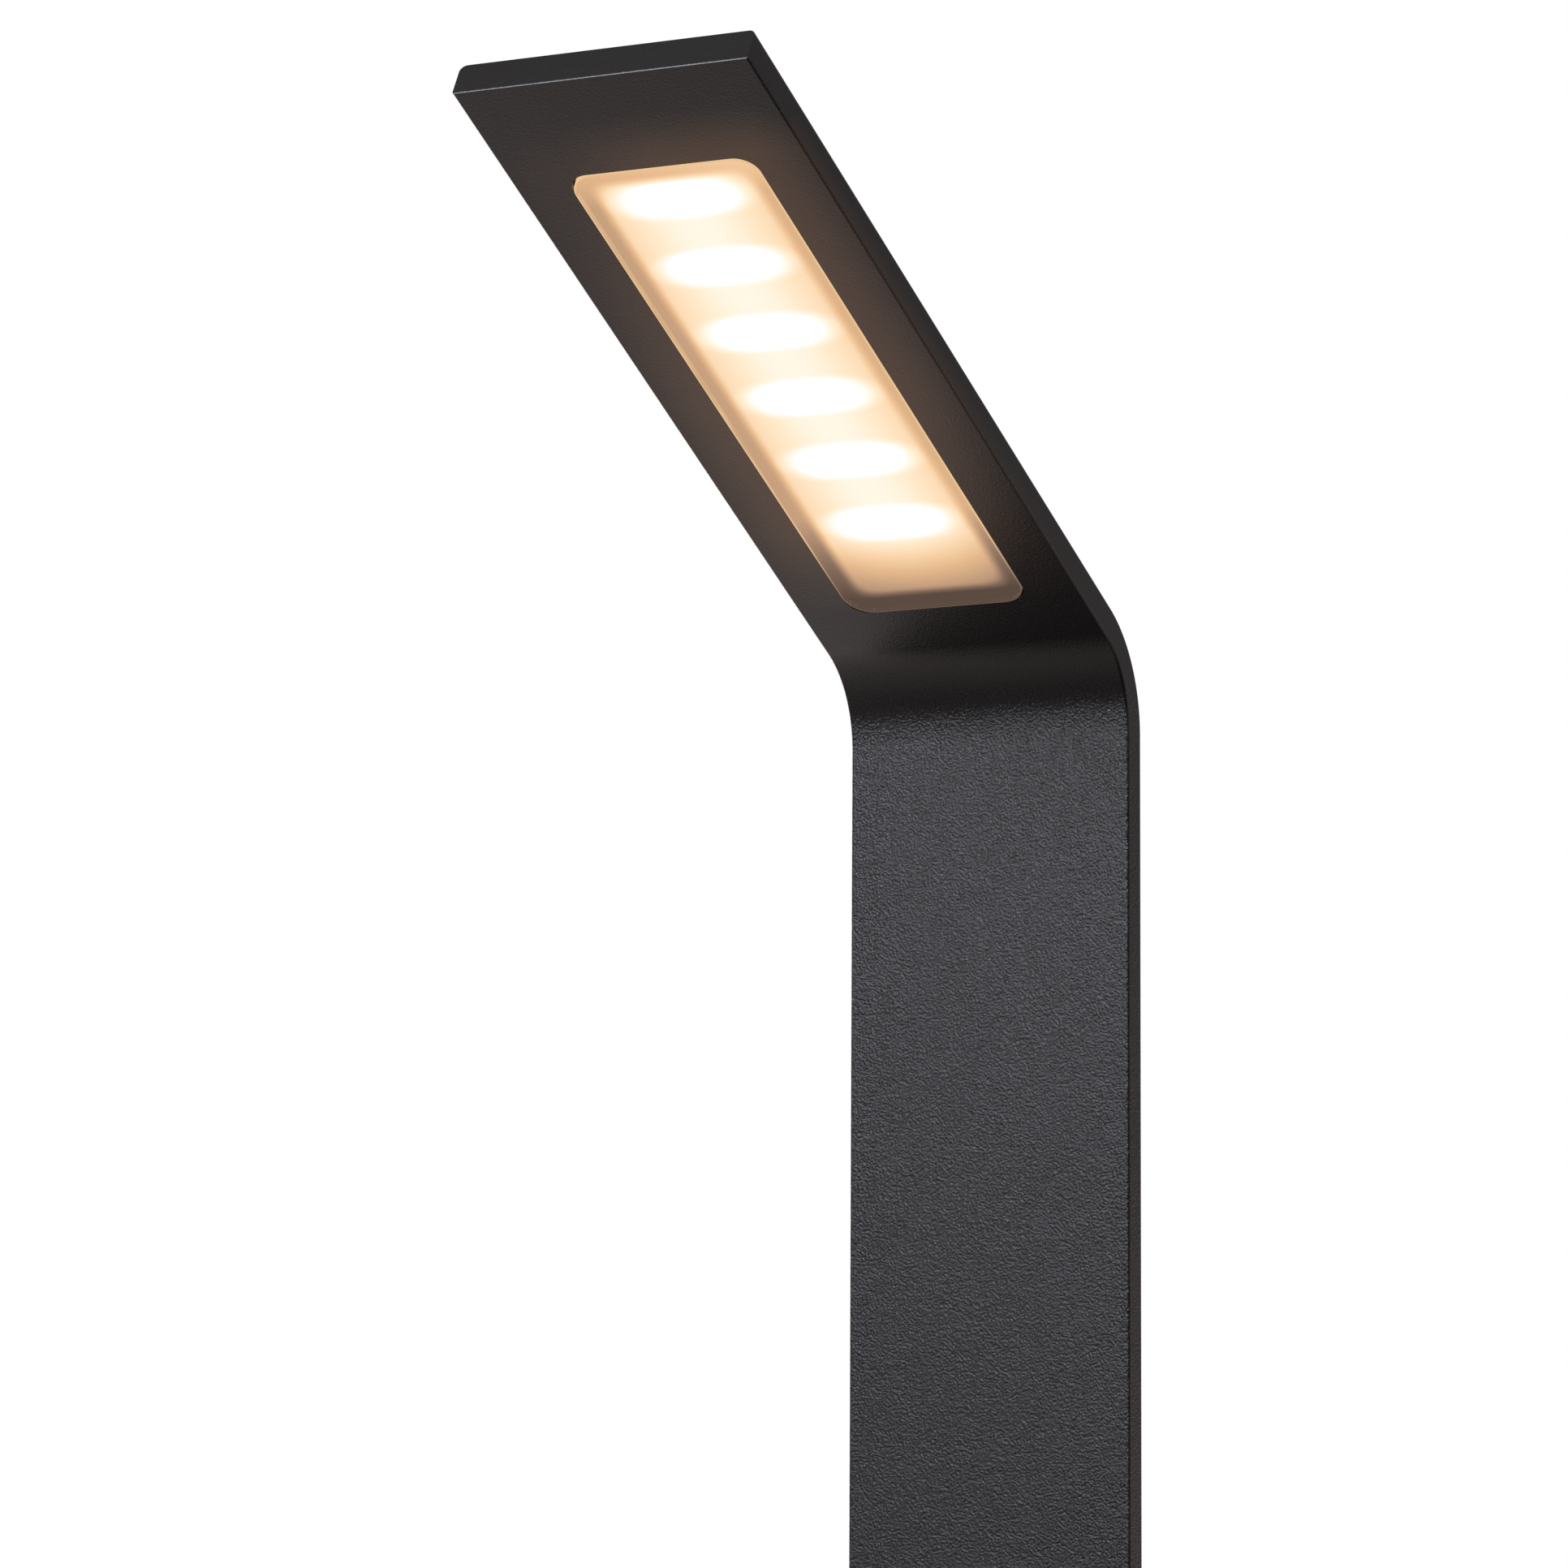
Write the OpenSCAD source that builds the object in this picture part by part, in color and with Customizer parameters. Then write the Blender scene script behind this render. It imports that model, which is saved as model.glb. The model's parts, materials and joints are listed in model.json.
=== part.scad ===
// Garden bollard light: a flat hollow aluminium profile bent once near its top, so that the head leans
// forward over a path, with a row of LEDs behind an opal lens on the underside of the head.
// The post stands on a small foot that holds the driver and the mains terminals.
//
// Frame: X across the post, -Y to the front, +Z up. The origin is on the ground, on the post's axis.

/* [Overall] */
// Height of the head's top edge above the ground
total_h = 500; // [420:5:700]
// Angle of the head from the vertical
bend_angle = 62; // [50:1:70]
// Length of the straight head, from the end of the bend to the outer face of its cap
head_l = 255; // [250:1:280]

/* [Profile] */
// Width of the flat profile
profile_w = 90; // [86:1:94]
// Thickness of the flat profile
profile_t = 10; // [10:0.5:11]
// Wall of the profile
wall_t = 1.8; // [1.6:0.1:2]
// Radius of the profile's two long edges at the front
edge_r = 0.8; // [0.4:0.1:1.2]
// Radius of its two long edges at the back
back_edge_r = 2.2; // [0.8:0.1:2.5]
// Inner radius of the bend
bend_r = 30; // [25:1:40]
// Width of the middle chamber, which holds the light and the wires
chamber_w = 61.5; // [61:0.1:62]
// Thickness of the two webs beside the middle chamber
web_t = 1.5; // [1.2:0.1:1.8]

/* [Lens] */
// Width of the lens as seen in its window
lens_w = 57.2; // [56:0.1:57.5]
// Length of the lens as seen in its window
lens_l = 198.8; // [190:0.2:200]
// Corner radius of the lens
lens_r = 8; // [6:0.5:9]
// Corner radius of its window
window_r = 6.5; // [4:0.5:8]
// Distance from the end of the head to the window
lens_end_gap = 38; // [34:1:40]
// How far the lens stands proud of the metal
lens_proud = 0.2; // [0:0.1:0.5]

/* [LEDs] */
// Rows of LEDs along the head
led_rows = 6; // [3:1:6]
// Distance from one row to the next
led_row_pitch = 29; // [20:1:30]
// LEDs in a row
led_columns = 3; // [1:1:3]
// Distance between the LEDs of a row
led_column_pitch = 12; // [8:1:14]
// Distance from the lens's end edge to the first row
led_first_row = 15; // [12:1:20]

/* [Foot] */
// Side of the square foot
foot_w = 120; // [120:1:140]
// Height of the foot
foot_h = 42; // [42:1:50]
// Wall of the cast foot
foot_wall = 3; // [2.5:0.1:3.5]
// Top of the cast foot
foot_top = 5; // [5:0.5:6]
// Thickness of the ground plate
plate_t = 4; // [3:0.5:4]
// Distance between the anchor holes
anchor_spacing = 84; // [80:1:88]
// Radius of the anchor holes
anchor_r = 4.5; // [3.5:0.1:5]
// Radius of the bore for the supply cable in its grommet
cable_bore_r = 4.5; // [3.5:0.1:5]

/* [Hidden] */
$fn = 48;

// Clearance around a piece that is pushed into another by hand
slip = 0.2;
// Overlap of a cutting tool past the face that it opens
over = 1;

// The post's axis stands on the origin, and the bend turns about an axis in front of it
bend_axis_y = -(profile_t / 2 + bend_r);
bend_z = total_h - (bend_r + profile_t) * sin(bend_angle) - head_l * cos(bend_angle);
chamber_t = profile_t - 2 * wall_t;
side_chamber_w = profile_w / 2 - wall_t - chamber_w / 2 - web_t;
side_chamber_x = chamber_w / 2 + web_t + side_chamber_w / 2;
bend_steps = 16;
edge_steps = 5;

// Head end cap
cap_flange = 1.5;
cap_spigot = 12;
cap_side_spigot = 10;
seal_groove = 3;
seal_depth = 1.2;
head_profile_l = head_l - cap_flange;
cap_groove_s = head_profile_l - cap_spigot + 4;

// Light: its layers lie one behind another, and these depths count from the head's underside
window_gap = 0.1;
lens_s = head_l - lens_end_gap - lens_l / 2;
flange_w = chamber_w - 0.9;
flange_l = lens_l + 3.2;
flange_r = 3;
gasket_t = 0.5;
lens_flange_t = 1;
tray_t = 2.8;
board_t = 1.6;
d_gasket = wall_t;
d_flange = d_gasket + gasket_t;
d_tray = d_flange + lens_flange_t;
d_board = d_tray + tray_t;
d_pad = d_board + board_t;
d_back = profile_t - wall_t;
tray_side = 6;
tray_end = 7;
board_tail = 12;
board_end_s = lens_s + flange_l / 2;
board_start_s = lens_s - flange_l / 2 - board_tail;
led_size = [3.5, 0.7, 2.8];
led_first_s = lens_s + lens_l / 2 - led_first_row;
connector_l = 8;
connector_w = 10;
connector_t = 2.9;
connector_s = board_start_s + 1;

// Post root
post_gasket_t = 1;
post_z = foot_h + post_gasket_t;
fork_leg_w = 20;
fork_leg_x = 18.5;
fork_leg_t = chamber_t - 3 * slip;
fork_leg_top = post_z + 55;
fork_flange = [60, 38, 4];
fork_flange_top = foot_h - foot_top;
fork_screw_x = 22;
fork_screw_y = 13;
fork_wire_hole = 8;
root_slot_w = 2 * fork_leg_x + fork_leg_w + 3 * slip;
post_screw_z = [post_z + 19, post_z + 41];

// Foot
foot_corner_r = 6;
foot_bevel = 1.5;
foot_gasket_t = 1.5;
foot_cavity_w = foot_w - 2 * foot_wall;
plate_w = foot_cavity_w - 2;
lug_t = 3;
lug_w = 22;
lug_h = 26;
lug_x = plate_w / 2 - lug_t;
side_screw_z = 18;

// Screw sizes: [shank radius, head radius, head height, hexagon across flats]
M3 = [1.5, 2.8, 1.6, 2];
M4 = [2, 3.8, 2.2, 2.5];
M5 = [2.5, 4.7, 2.7, 3];
tapped = 0.05;
through = 0.2;

// Driver
case_size = [64, 30, 21];
case_y = 16;
case_wall = 1.5;
case_floor = 1.5;
lid_t = 1.5;
case_lug = [8, 12, 2];
case_screw_x = case_size.x / 2 + 4;
case_screw_y = case_y + 6;
board_size = [58, 24, 1.6];
board_z = plate_t + 3;
board_y = case_y + 3;
wire_z = 12;

// Wires
lead_r = 0.8;
lead_x = 1.5;
lead_rise_r = case_y;
tube_sides = 10;
lead_steps = 8;
mains_r = 0.9;

// Mains terminals: one pole for live, one for neutral and one for earth
pole_x = [18, 26, 34];
block_size = [26, 16, 16];
block_y = -30;
insert_r = 2.5;
insert_bore_r = 1.6;
insert_l = 14;
pole_screw_y = block_y + 4;
lead_start_y = block_y + 8;

// Earth
earth_y = 6;
earth_ring_r = 5;
earth_ring_t = 1;
earth_barrel_r = 1.7;
earth_bend_r = 5;
earth_barrel_y = -2;

// Cable entry and clamp
grommet_x = -24;
grommet_y = -16;
grommet_hole_r = 9;
grommet_flange_r = 12;
grommet_flange_t = 2.5;
clamp_x = -4;
clamp_y = -38;
clamp_w = 10;
clamp_t = 1.5;
clamp_foot = 10.5;
clamp_reach = 14;

BLACK_COAT = "#34363a";
OPAL = "#ffe6c4";
RUBBER = "#1b1b1c";
WHITE_PLASTIC = "#f1efe9";
PHOSPHOR = "#e8c23a";
PAD_GREY = "#8d9398";
STEEL = "#b9bcc0";
GALVANISED = "#a3a8aa";
BRASS = "#c9a24b";
RED_WIRE = "#a6231d";
BLACK_WIRE = "#1d1d1f";
BROWN_WIRE = "#6b3f22";
BLUE_WIRE = "#2b5aa8";
EARTH_WIRE = "#7fa32b";
BOARD_GREEN = "#2c6a45";
FERRITE = "#3b3b3f";

// ---------- shared shapes ----------

// A rectangle with round corners, centred on the origin
module rounded_rect(w, h, r) {
    square([w - 2 * r, h], center = true);
    square([w, h - 2 * r], center = true);
    for (x = [-1, 1], y = [-1, 1])
        translate([x * (w / 2 - r), y * (h / 2 - r)])
            circle(r);
}

// Places children on the head: X across, -Y towards the underside, Z along the head from the bend
module at_head() {
    translate([0, bend_axis_y, bend_z])
        rotate([bend_angle, 0, 0])
            translate([0, -bend_axis_y, 0])
                children();
}

// A rounded plate inside the head, between two depths from its underside
module head_layer(w, l, r, depth, thickness, s = lens_s) {
    at_head()
        translate([0, depth - profile_t / 2, s])
            rotate([-90, 0, 0])
                linear_extrude(thickness)
                    rounded_rect(w, l, r);
}

// Stations [y, z, tilt] round an arc. The tilt of the way on is measured from straight up, to the front
function arc_stations(centre, r, from, to, steps) =
    [for (i = [0 : steps]) let (t = from + (to - from) * i / steps)
        [centre.x + r * cos(t), centre.y + r * sin(t), t]];

// Outlines of a section as [across, towards the back], clockwise
function round_outline(r, x = 0) =
    [for (k = [0 : tube_sides - 1]) let (t = 360 * k / tube_sides) [x + r * sin(t), r * cos(t)]];

function box_outline(w, h, x = 0) =
    [[x - w / 2, h / 2], [x + w / 2, h / 2], [x + w / 2, -h / 2], [x - w / 2, -h / 2]];

// Outline of the profile: small radii at the front, larger ones at the back
function profile_outline() =
    [for (quarter = [0 : 3], i = [0 : edge_steps])
        let (
            t = 90 - 90 * quarter - 90 * i / edge_steps,
            side = quarter < 2 ? 1 : -1,
            back = quarter == 0 || quarter == 3 ? 1 : -1,
            r = back > 0 ? back_edge_r : edge_r
        )
            [side * (profile_w / 2 - r) + r * cos(t), back * (profile_t / 2 - r) + r * sin(t)]];

// Sweeps an outline through stations in the plane of symmetry
module sweep(outline, stations) {
    count = len(outline);
    last = len(stations) - 1;
    rings = [
        for (at = stations, p = outline)
            [p.x, at.x + p.y * cos(at.z), at.y + p.y * sin(at.z)]
    ];
    sides = [
        for (i = [0 : last - 1], k = [0 : count - 1])
            let (next = (k + 1) % count, low = i * count, high = low + count)
                [low + k, low + next, high + next, high + k]
    ];
    first_cap = [for (k = [0 : count - 1]) count - 1 - k];
    last_cap = [for (k = [0 : count - 1]) last * count + k];
    polyhedron(rings, concat(sides, [first_cap, last_cap]));
}

// The profile's own route, from a height on the post to a distance along the head
function post_route(from_z, to_s) = concat(
    [[0, from_z, 0]],
    arc_stations([bend_axis_y, bend_z], -bend_axis_y, 0, bend_angle, bend_steps),
    [[bend_axis_y, bend_z, bend_angle] + to_s * [-sin(bend_angle), cos(bend_angle), 0]
        - bend_axis_y * [cos(bend_angle), sin(bend_angle), 0]]
);

// A button-head screw that points down: its head stands on z = 0, with a hexagon socket
module button_screw(size, length) {
    rim = size[2] * 0.35;
    socket = size[2] * 0.6;
    difference() {
        union() {
            cylinder(r = size[1], h = rim);
            translate([0, 0, rim])
                cylinder(r1 = size[1], r2 = size[1] * 0.7, h = size[2] - rim);
            translate([0, 0, -length])
                cylinder(r = size[0], h = length);
        }
        translate([0, 0, size[2] - socket])
            cylinder(r = size[3] / 2 / cos(30), h = socket + over, $fn = 6);
    }
}

// A round wire along +Y
module wire_along_y(x, z, from_y, to_y, r) {
    translate([x, from_y, z])
        rotate([-90, 0, 0])
            cylinder(r = r, h = to_y - from_y);
}

// ---------- head and post ----------

module post_profile() {
    chamber_route = post_route(post_z - over, head_profile_l + over);
    color(BLACK_COAT)
        difference() {
            sweep(profile_outline(), post_route(post_z, head_profile_l));
            sweep(box_outline(chamber_w, chamber_t), chamber_route);
            for (side = [-1, 1])
                sweep(box_outline(side_chamber_w, chamber_t, side * side_chamber_x), chamber_route);
            head_layer(lens_w + 2 * window_gap, lens_l + 2 * window_gap, window_r, -over, wall_t + 2 * over);
            for (side = [-1, 1], z = post_screw_z)
                translate([side * fork_leg_x, profile_t / 2 + over, z])
                    rotate([90, 0, 0])
                        cylinder(r = M4[0] + through, h = wall_t + 2 * over);
        }
}

module head_end_cap() {
    spigot_t = chamber_t - 2 * slip;
    color(BLACK_COAT)
        at_head()
            difference() {
                union() {
                    translate([0, 0, head_profile_l])
                        linear_extrude(cap_flange)
                            polygon(profile_outline());
                    translate([0, 0, head_profile_l - cap_spigot])
                        linear_extrude(cap_spigot)
                            square([chamber_w - 3 * slip, spigot_t], center = true);
                    for (side = [-1, 1])
                        translate([side * side_chamber_x, 0, head_profile_l - cap_side_spigot])
                            linear_extrude(cap_side_spigot)
                                square([side_chamber_w - 2 * slip, spigot_t], center = true);
                }
                translate([0, 0, cap_groove_s])
                    linear_extrude(seal_groove)
                        difference() {
                            square([chamber_w, chamber_t], center = true);
                            square([chamber_w - 2 * seal_depth, chamber_t - 2 * seal_depth], center = true);
                        }
            }
}

module end_cap_seal() {
    gap = 0.1;
    color(RUBBER)
        at_head()
            translate([0, 0, cap_groove_s + gap])
                linear_extrude(seal_groove - 2 * gap)
                    difference() {
                        square([chamber_w - 2 * gap, chamber_t - 2 * gap], center = true);
                        square([chamber_w - 2 * seal_depth + gap, chamber_t - 2 * seal_depth + gap],
                            center = true);
                    }
}

// ---------- light ----------

module lens() {
    color(OPAL) {
        head_layer(lens_w, lens_l, lens_r, -lens_proud, lens_proud + d_flange);
        head_layer(flange_w, flange_l, flange_r, d_flange, lens_flange_t);
    }
}

module lens_gasket() {
    color(RUBBER)
        difference() {
            head_layer(flange_w, flange_l, flange_r, d_gasket, gasket_t);
            head_layer(lens_w + 2 * slip, lens_l + 2 * slip, lens_r, d_gasket - over, gasket_t + 2 * over);
        }
}

module reflector_tray() {
    color(WHITE_PLASTIC)
        difference() {
            head_layer(flange_w, flange_l, flange_r, d_tray, tray_t);
            head_layer(lens_w - 2 * tray_side, lens_l - 2 * tray_end, lens_r, d_tray - over, tray_t + 2 * over);
        }
}

module led_chips() {
    color(PHOSPHOR)
        at_head()
            for (row = [0 : led_rows - 1], column = [0 : led_columns - 1])
                translate([
                    (column - (led_columns - 1) / 2) * led_column_pitch,
                    d_board - profile_t / 2 - led_size.y / 2,
                    led_first_s - row * led_row_pitch
                ])
                    cube(led_size, center = true);
}

module led_board() {
    length = board_end_s - board_start_s;
    color(WHITE_PLASTIC)
        head_layer(flange_w, length, 1, d_board, board_t, board_start_s + length / 2);
}

module board_connector() {
    color(WHITE_PLASTIC)
        at_head()
            translate([-connector_w / 2, d_board - profile_t / 2 - connector_t, connector_s])
                cube([connector_w, connector_t, connector_l]);
}

module thermal_pad() {
    length = board_end_s - board_start_s - 2;
    color(PAD_GREY)
        head_layer(flange_w - 2, length, 1, d_pad, d_back - d_pad, board_start_s + 1 + length / 2);
}

// One wire of the pair from the driver, up the post, round the bend and on to the board's connector
module led_lead(side) {
    rise = arc_stations([case_y, wire_z + lead_rise_r], -lead_rise_r, 90, 0, lead_steps);
    route = post_route(wire_z + lead_rise_r, connector_s);
    climb = [for (i = [1 : len(route) - 1]) route[i]];
    sweep(round_outline(lead_r, side * lead_x), concat([[board_y, wire_z, 90]], rise, climb));
}

module led_lead_positive() {
    color(RED_WIRE) led_lead(1);
}

module led_lead_negative() {
    color(BLACK_WIRE) led_lead(-1);
}

// ---------- post root ----------

module post_gasket() {
    color(RUBBER)
        translate([0, 0, foot_h])
            linear_extrude(post_gasket_t)
                difference() {
                    polygon(profile_outline());
                    square([root_slot_w, chamber_t], center = true);
                }
}

module post_root_fork() {
    color(STEEL)
        difference() {
            union() {
                translate([0, 0, fork_flange_top - fork_flange.z / 2])
                    cube(fork_flange, center = true);
                for (side = [-1, 1])
                    translate([side * fork_leg_x - fork_leg_w / 2, -fork_leg_t / 2, fork_flange_top - over])
                        cube([fork_leg_w, fork_leg_t, fork_leg_top - fork_flange_top + over]);
            }
            translate([0, 0, fork_flange_top - fork_flange.z / 2])
                cube([fork_wire_hole, fork_wire_hole, fork_flange.z + 2 * over], center = true);
            for (x = [-1, 1], y = [-1, 1])
                translate([x * fork_screw_x, y * fork_screw_y, fork_flange_top - fork_flange.z - over])
                    cylinder(r = M5[0] + through, h = fork_flange.z + 2 * over);
            for (side = [-1, 1], z = post_screw_z)
                translate([side * fork_leg_x, fork_leg_t / 2 + over, z])
                    rotate([90, 0, 0])
                        cylinder(r = M4[0] + tapped, h = fork_leg_t + 2 * over);
        }
}

// Four screws from below that hold the fork to the foot
module fork_screws() {
    thread_l = foot_top - 1.5;
    color(STEEL)
        for (x = [-1, 1], y = [-1, 1])
            translate([x * fork_screw_x, y * fork_screw_y, fork_flange_top - fork_flange.z])
                rotate([180, 0, 0])
                    button_screw(M5, fork_flange.z + thread_l);
}

// Four screws through the back of the post into the fork
module post_screws() {
    length = wall_t + chamber_t - slip;
    color(BLACK_COAT)
        for (side = [-1, 1], z = post_screw_z)
            translate([side * fork_leg_x, profile_t / 2, z])
                rotate([-90, 0, 0])
                    button_screw(M4, length);
}

// ---------- foot ----------

module foot_housing() {
    color(BLACK_COAT)
        difference() {
            union() {
                translate([0, 0, foot_gasket_t])
                    linear_extrude(foot_h - foot_gasket_t - foot_bevel)
                        rounded_rect(foot_w, foot_w, foot_corner_r);
                hull()
                    for (step = [[0, 0], [1, foot_bevel]])
                        translate([0, 0, foot_h - foot_bevel + step[0] * (foot_bevel - 0.01)])
                            linear_extrude(0.01)
                                rounded_rect(foot_w - 2 * step[1], foot_w - 2 * step[1],
                                    foot_corner_r - step[1], $fn = 32);
            }
            translate([0, 0, -over])
                linear_extrude(foot_h - foot_top + over)
                    rounded_rect(foot_cavity_w, foot_cavity_w, foot_corner_r - foot_wall);
            translate([0, 0, foot_h - foot_top - over])
                linear_extrude(foot_top + 2 * over)
                    square([root_slot_w, chamber_t], center = true);
            for (x = [-1, 1], y = [-1, 1])
                translate([x * fork_screw_x, y * fork_screw_y, foot_h - foot_top - over])
                    cylinder(r = M5[0] + tapped, h = foot_top - 1 + over);
            for (side = [-1, 1])
                translate([side * (foot_w / 2 - foot_wall / 2), 0, side_screw_z])
                    rotate([0, 90, 0])
                        cylinder(r = M5[0] + through, h = foot_wall + 2 * over, center = true);
        }
}

module foot_gasket() {
    color(RUBBER)
        linear_extrude(foot_gasket_t)
            difference() {
                rounded_rect(foot_w, foot_w, foot_corner_r);
                rounded_rect(foot_cavity_w, foot_cavity_w, foot_corner_r - foot_wall);
            }
}

module ground_plate() {
    color(GALVANISED)
        difference() {
            linear_extrude(plate_t)
                rounded_rect(plate_w, plate_w, foot_corner_r - foot_wall);
            for (x = [-1, 1], y = [-1, 1])
                translate([x * anchor_spacing / 2, y * anchor_spacing / 2, -over])
                    cylinder(r = anchor_r, h = plate_t + 2 * over);
            translate([grommet_x, grommet_y, -over])
                cylinder(r = grommet_hole_r, h = plate_t + 2 * over);
            for (side = [-1, 1])
                translate([side * case_screw_x, case_screw_y, -over])
                    cylinder(r = M3[0] + tapped, h = plate_t + 2 * over);
            for (side = [-1, 1])
                translate([clamp_x, clamp_y + side * clamp_foot, -over])
                    cylinder(r = M3[0] + tapped, h = plate_t + 2 * over);
            translate([pole_x[2], earth_y, -over])
                cylinder(r = M4[0] + tapped, h = plate_t + 2 * over);
        }
}

// Two upright lugs, welded to the ground plate, that take the foot's side screws
module fixing_lugs() {
    color(GALVANISED)
        for (side = [-1, 1])
            translate([side * (lug_x + lug_t / 2), 0, plate_t])
                difference() {
                    translate([-lug_t / 2, -lug_w / 2, 0])
                        cube([lug_t, lug_w, lug_h]);
                    translate([0, 0, side_screw_z - plate_t])
                        rotate([0, 90, 0])
                            cylinder(r = M5[0] + tapped, h = lug_t + 2 * over, center = true);
                }
}

module side_screws() {
    length = foot_wall + 8;
    color(BLACK_COAT)
        for (side = [-1, 1])
            translate([side * foot_w / 2, 0, side_screw_z])
                rotate([0, side * 90, 0])
                    button_screw(M5, length);
}

// ---------- driver ----------

module driver_case() {
    inside = [case_size.x - 2 * case_wall, case_size.y - 2 * case_wall, case_size.z];
    color(BLACK_WIRE)
        difference() {
            union() {
                translate([-case_size.x / 2, case_y, plate_t])
                    cube([case_size.x, case_size.y, case_size.z - lid_t]);
                for (side = [-1, 1])
                    translate([side * case_screw_x - case_lug.x / 2, case_y, plate_t])
                        cube(case_lug);
            }
            difference() {
                translate([-inside.x / 2, case_y + case_wall, plate_t + case_floor])
                    cube(inside);
                for (x = [-1, 1], y = [0, 1])
                    translate([
                        x * (board_size.x / 2 - 3) - 2, board_y + y * (board_size.y - 4), plate_t
                    ])
                        cube([4, 4, board_z - plate_t]);
            }
            for (side = [-1, 1])
                translate([side * case_screw_x, case_screw_y, plate_t - over])
                    cylinder(r = M3[0] + through, h = case_lug.z + 2 * over);
            for (side = [-1, 1])
                wire_along_y(side * lead_x, wire_z, case_y - over, case_y + case_wall + over, lead_r + 0.05);
            for (pole = [0, 1])
                wire_along_y(pole_x[pole], wire_z, case_y - over, case_y + case_wall + over, mains_r + 0.05);
        }
}

module driver_lid() {
    color(BLACK_WIRE)
        translate([-case_size.x / 2, case_y, plate_t + case_size.z - lid_t])
            cube([case_size.x, case_size.y, lid_t]);
}

module driver_board() {
    color(BOARD_GREEN)
        translate([-board_size.x / 2, board_y, board_z])
            cube(board_size);
}

// The output and the input connectors, side by side at the front of the board
module driver_connectors() {
    top = board_z + board_size.z;
    color(WHITE_PLASTIC) {
        translate([-5, board_y, top])
            cube([10, 7, 6]);
        translate([pole_x[0] - 4, board_y, top])
            cube([pole_x[1] - pole_x[0] + 6.5, 7, 6]);
    }
}

module driver_transformer() {
    top = board_z + board_size.z;
    color(FERRITE)
        translate([-17, board_y + 12, top]) {
            translate([-8, -7, 0])
                cube([16, 14, 3]);
            translate([0, 0, 3])
                cylinder(r = 5.5, h = 6);
            translate([-8, -7, 9])
                cube([16, 14, 3]);
            for (side = [-1, 1])
                translate([side * 7 - 1, -7, 3])
                    cube([2, 14, 6]);
        }
}

module driver_capacitors() {
    top = board_z + board_size.z;
    color(BLUE_WIRE)
        for (x = [6, 18])
            translate([x, board_y + 16, top])
                cylinder(r = 4.5, h = 12);
}

module driver_screws() {
    color(STEEL)
        for (side = [-1, 1])
            translate([side * case_screw_x, case_screw_y, plate_t + case_lug.z])
                button_screw(M3, case_lug.z + plate_t - 1);
}

// ---------- mains terminals, earth and cable entry ----------

module terminal_block() {
    color(WHITE_PLASTIC)
        difference() {
            translate([pole_x[1] - block_size.x / 2, block_y, plate_t])
                cube(block_size);
            for (x = pole_x) {
                wire_along_y(x, wire_z, block_y - over, block_y + block_size.y + over, insert_r + 0.05);
                translate([x, pole_screw_y, wire_z])
                    cylinder(r = M3[0] + through, h = block_size.z);
                translate([x, pole_screw_y + 8, wire_z])
                    cylinder(r = M3[0] + through, h = block_size.z);
            }
        }
}

module terminal_inserts() {
    start = block_y + (block_size.y - insert_l) / 2;
    color(BRASS)
        for (x = pole_x)
            difference() {
                wire_along_y(x, wire_z, start, start + insert_l, insert_r);
                wire_along_y(x, wire_z, start - over, start + insert_l + over, insert_bore_r);
                for (y = [0, 8])
                    translate([x, pole_screw_y + y, wire_z])
                        cylinder(r = M3[0] + tapped, h = block_size.z);
            }
}

// Clamping screws: the rear ones press on the fixed wires, the front ones stand open for the cable
module terminal_screws() {
    color(STEEL)
        for (x = pole_x, y = [0, 8])
            translate([x, pole_screw_y + y, wire_z + mains_r])
                difference() {
                    cylinder(r = M3[0], h = 6);
                    translate([-M3[0], -0.3, 5])
                        cube([2 * M3[0], 0.6, 2]);
                }
}

module mains_lead(x) {
    wire_along_y(x, wire_z, lead_start_y, board_y, mains_r);
}

module live_lead() {
    color(BROWN_WIRE) mains_lead(pole_x[0]);
}

module neutral_lead() {
    color(BLUE_WIRE) mains_lead(pole_x[1]);
}

module earth_lead() {
    turn_y = earth_barrel_y - earth_bend_r;
    color(EARTH_WIRE) {
        wire_along_y(pole_x[2], wire_z, lead_start_y, turn_y, mains_r);
        translate([pole_x[2], turn_y, wire_z - earth_bend_r])
            rotate([90, 0, 90])
                rotate_extrude(angle = 90)
                    translate([earth_bend_r, 0])
                        circle(mains_r, $fn = 24);
    }
}

// Ring tag under the earth screw, with an upright barrel for the wire
module earth_ring() {
    barrel_top = wire_z - earth_bend_r;
    color(BRASS)
        difference() {
            translate([pole_x[2], 0, plate_t]) {
                translate([0, earth_y, 0])
                    cylinder(r = earth_ring_r, h = earth_ring_t);
                translate([-earth_barrel_r, earth_barrel_y, 0])
                    cube([2 * earth_barrel_r, earth_y - earth_barrel_y, earth_ring_t]);
                translate([0, earth_barrel_y, 0])
                    cylinder(r = earth_barrel_r, h = barrel_top - plate_t + 2);
            }
            translate([pole_x[2], earth_barrel_y, barrel_top])
                cylinder(r = mains_r + 0.05, h = 2 + over);
            translate([pole_x[2] - mains_r - 0.05, earth_barrel_y - 2 * earth_barrel_r, barrel_top])
                cube([2 * (mains_r + 0.05), 2 * earth_barrel_r, 2 + over]);
            translate([pole_x[2], earth_y, plate_t - over])
                cylinder(r = M4[0] + through, h = earth_ring_t + 2 * over);
        }
}

module earth_screw() {
    color(BRASS)
        translate([pole_x[2], earth_y, plate_t + earth_ring_t])
            button_screw(M4, earth_ring_t + plate_t - 1);
}

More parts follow.
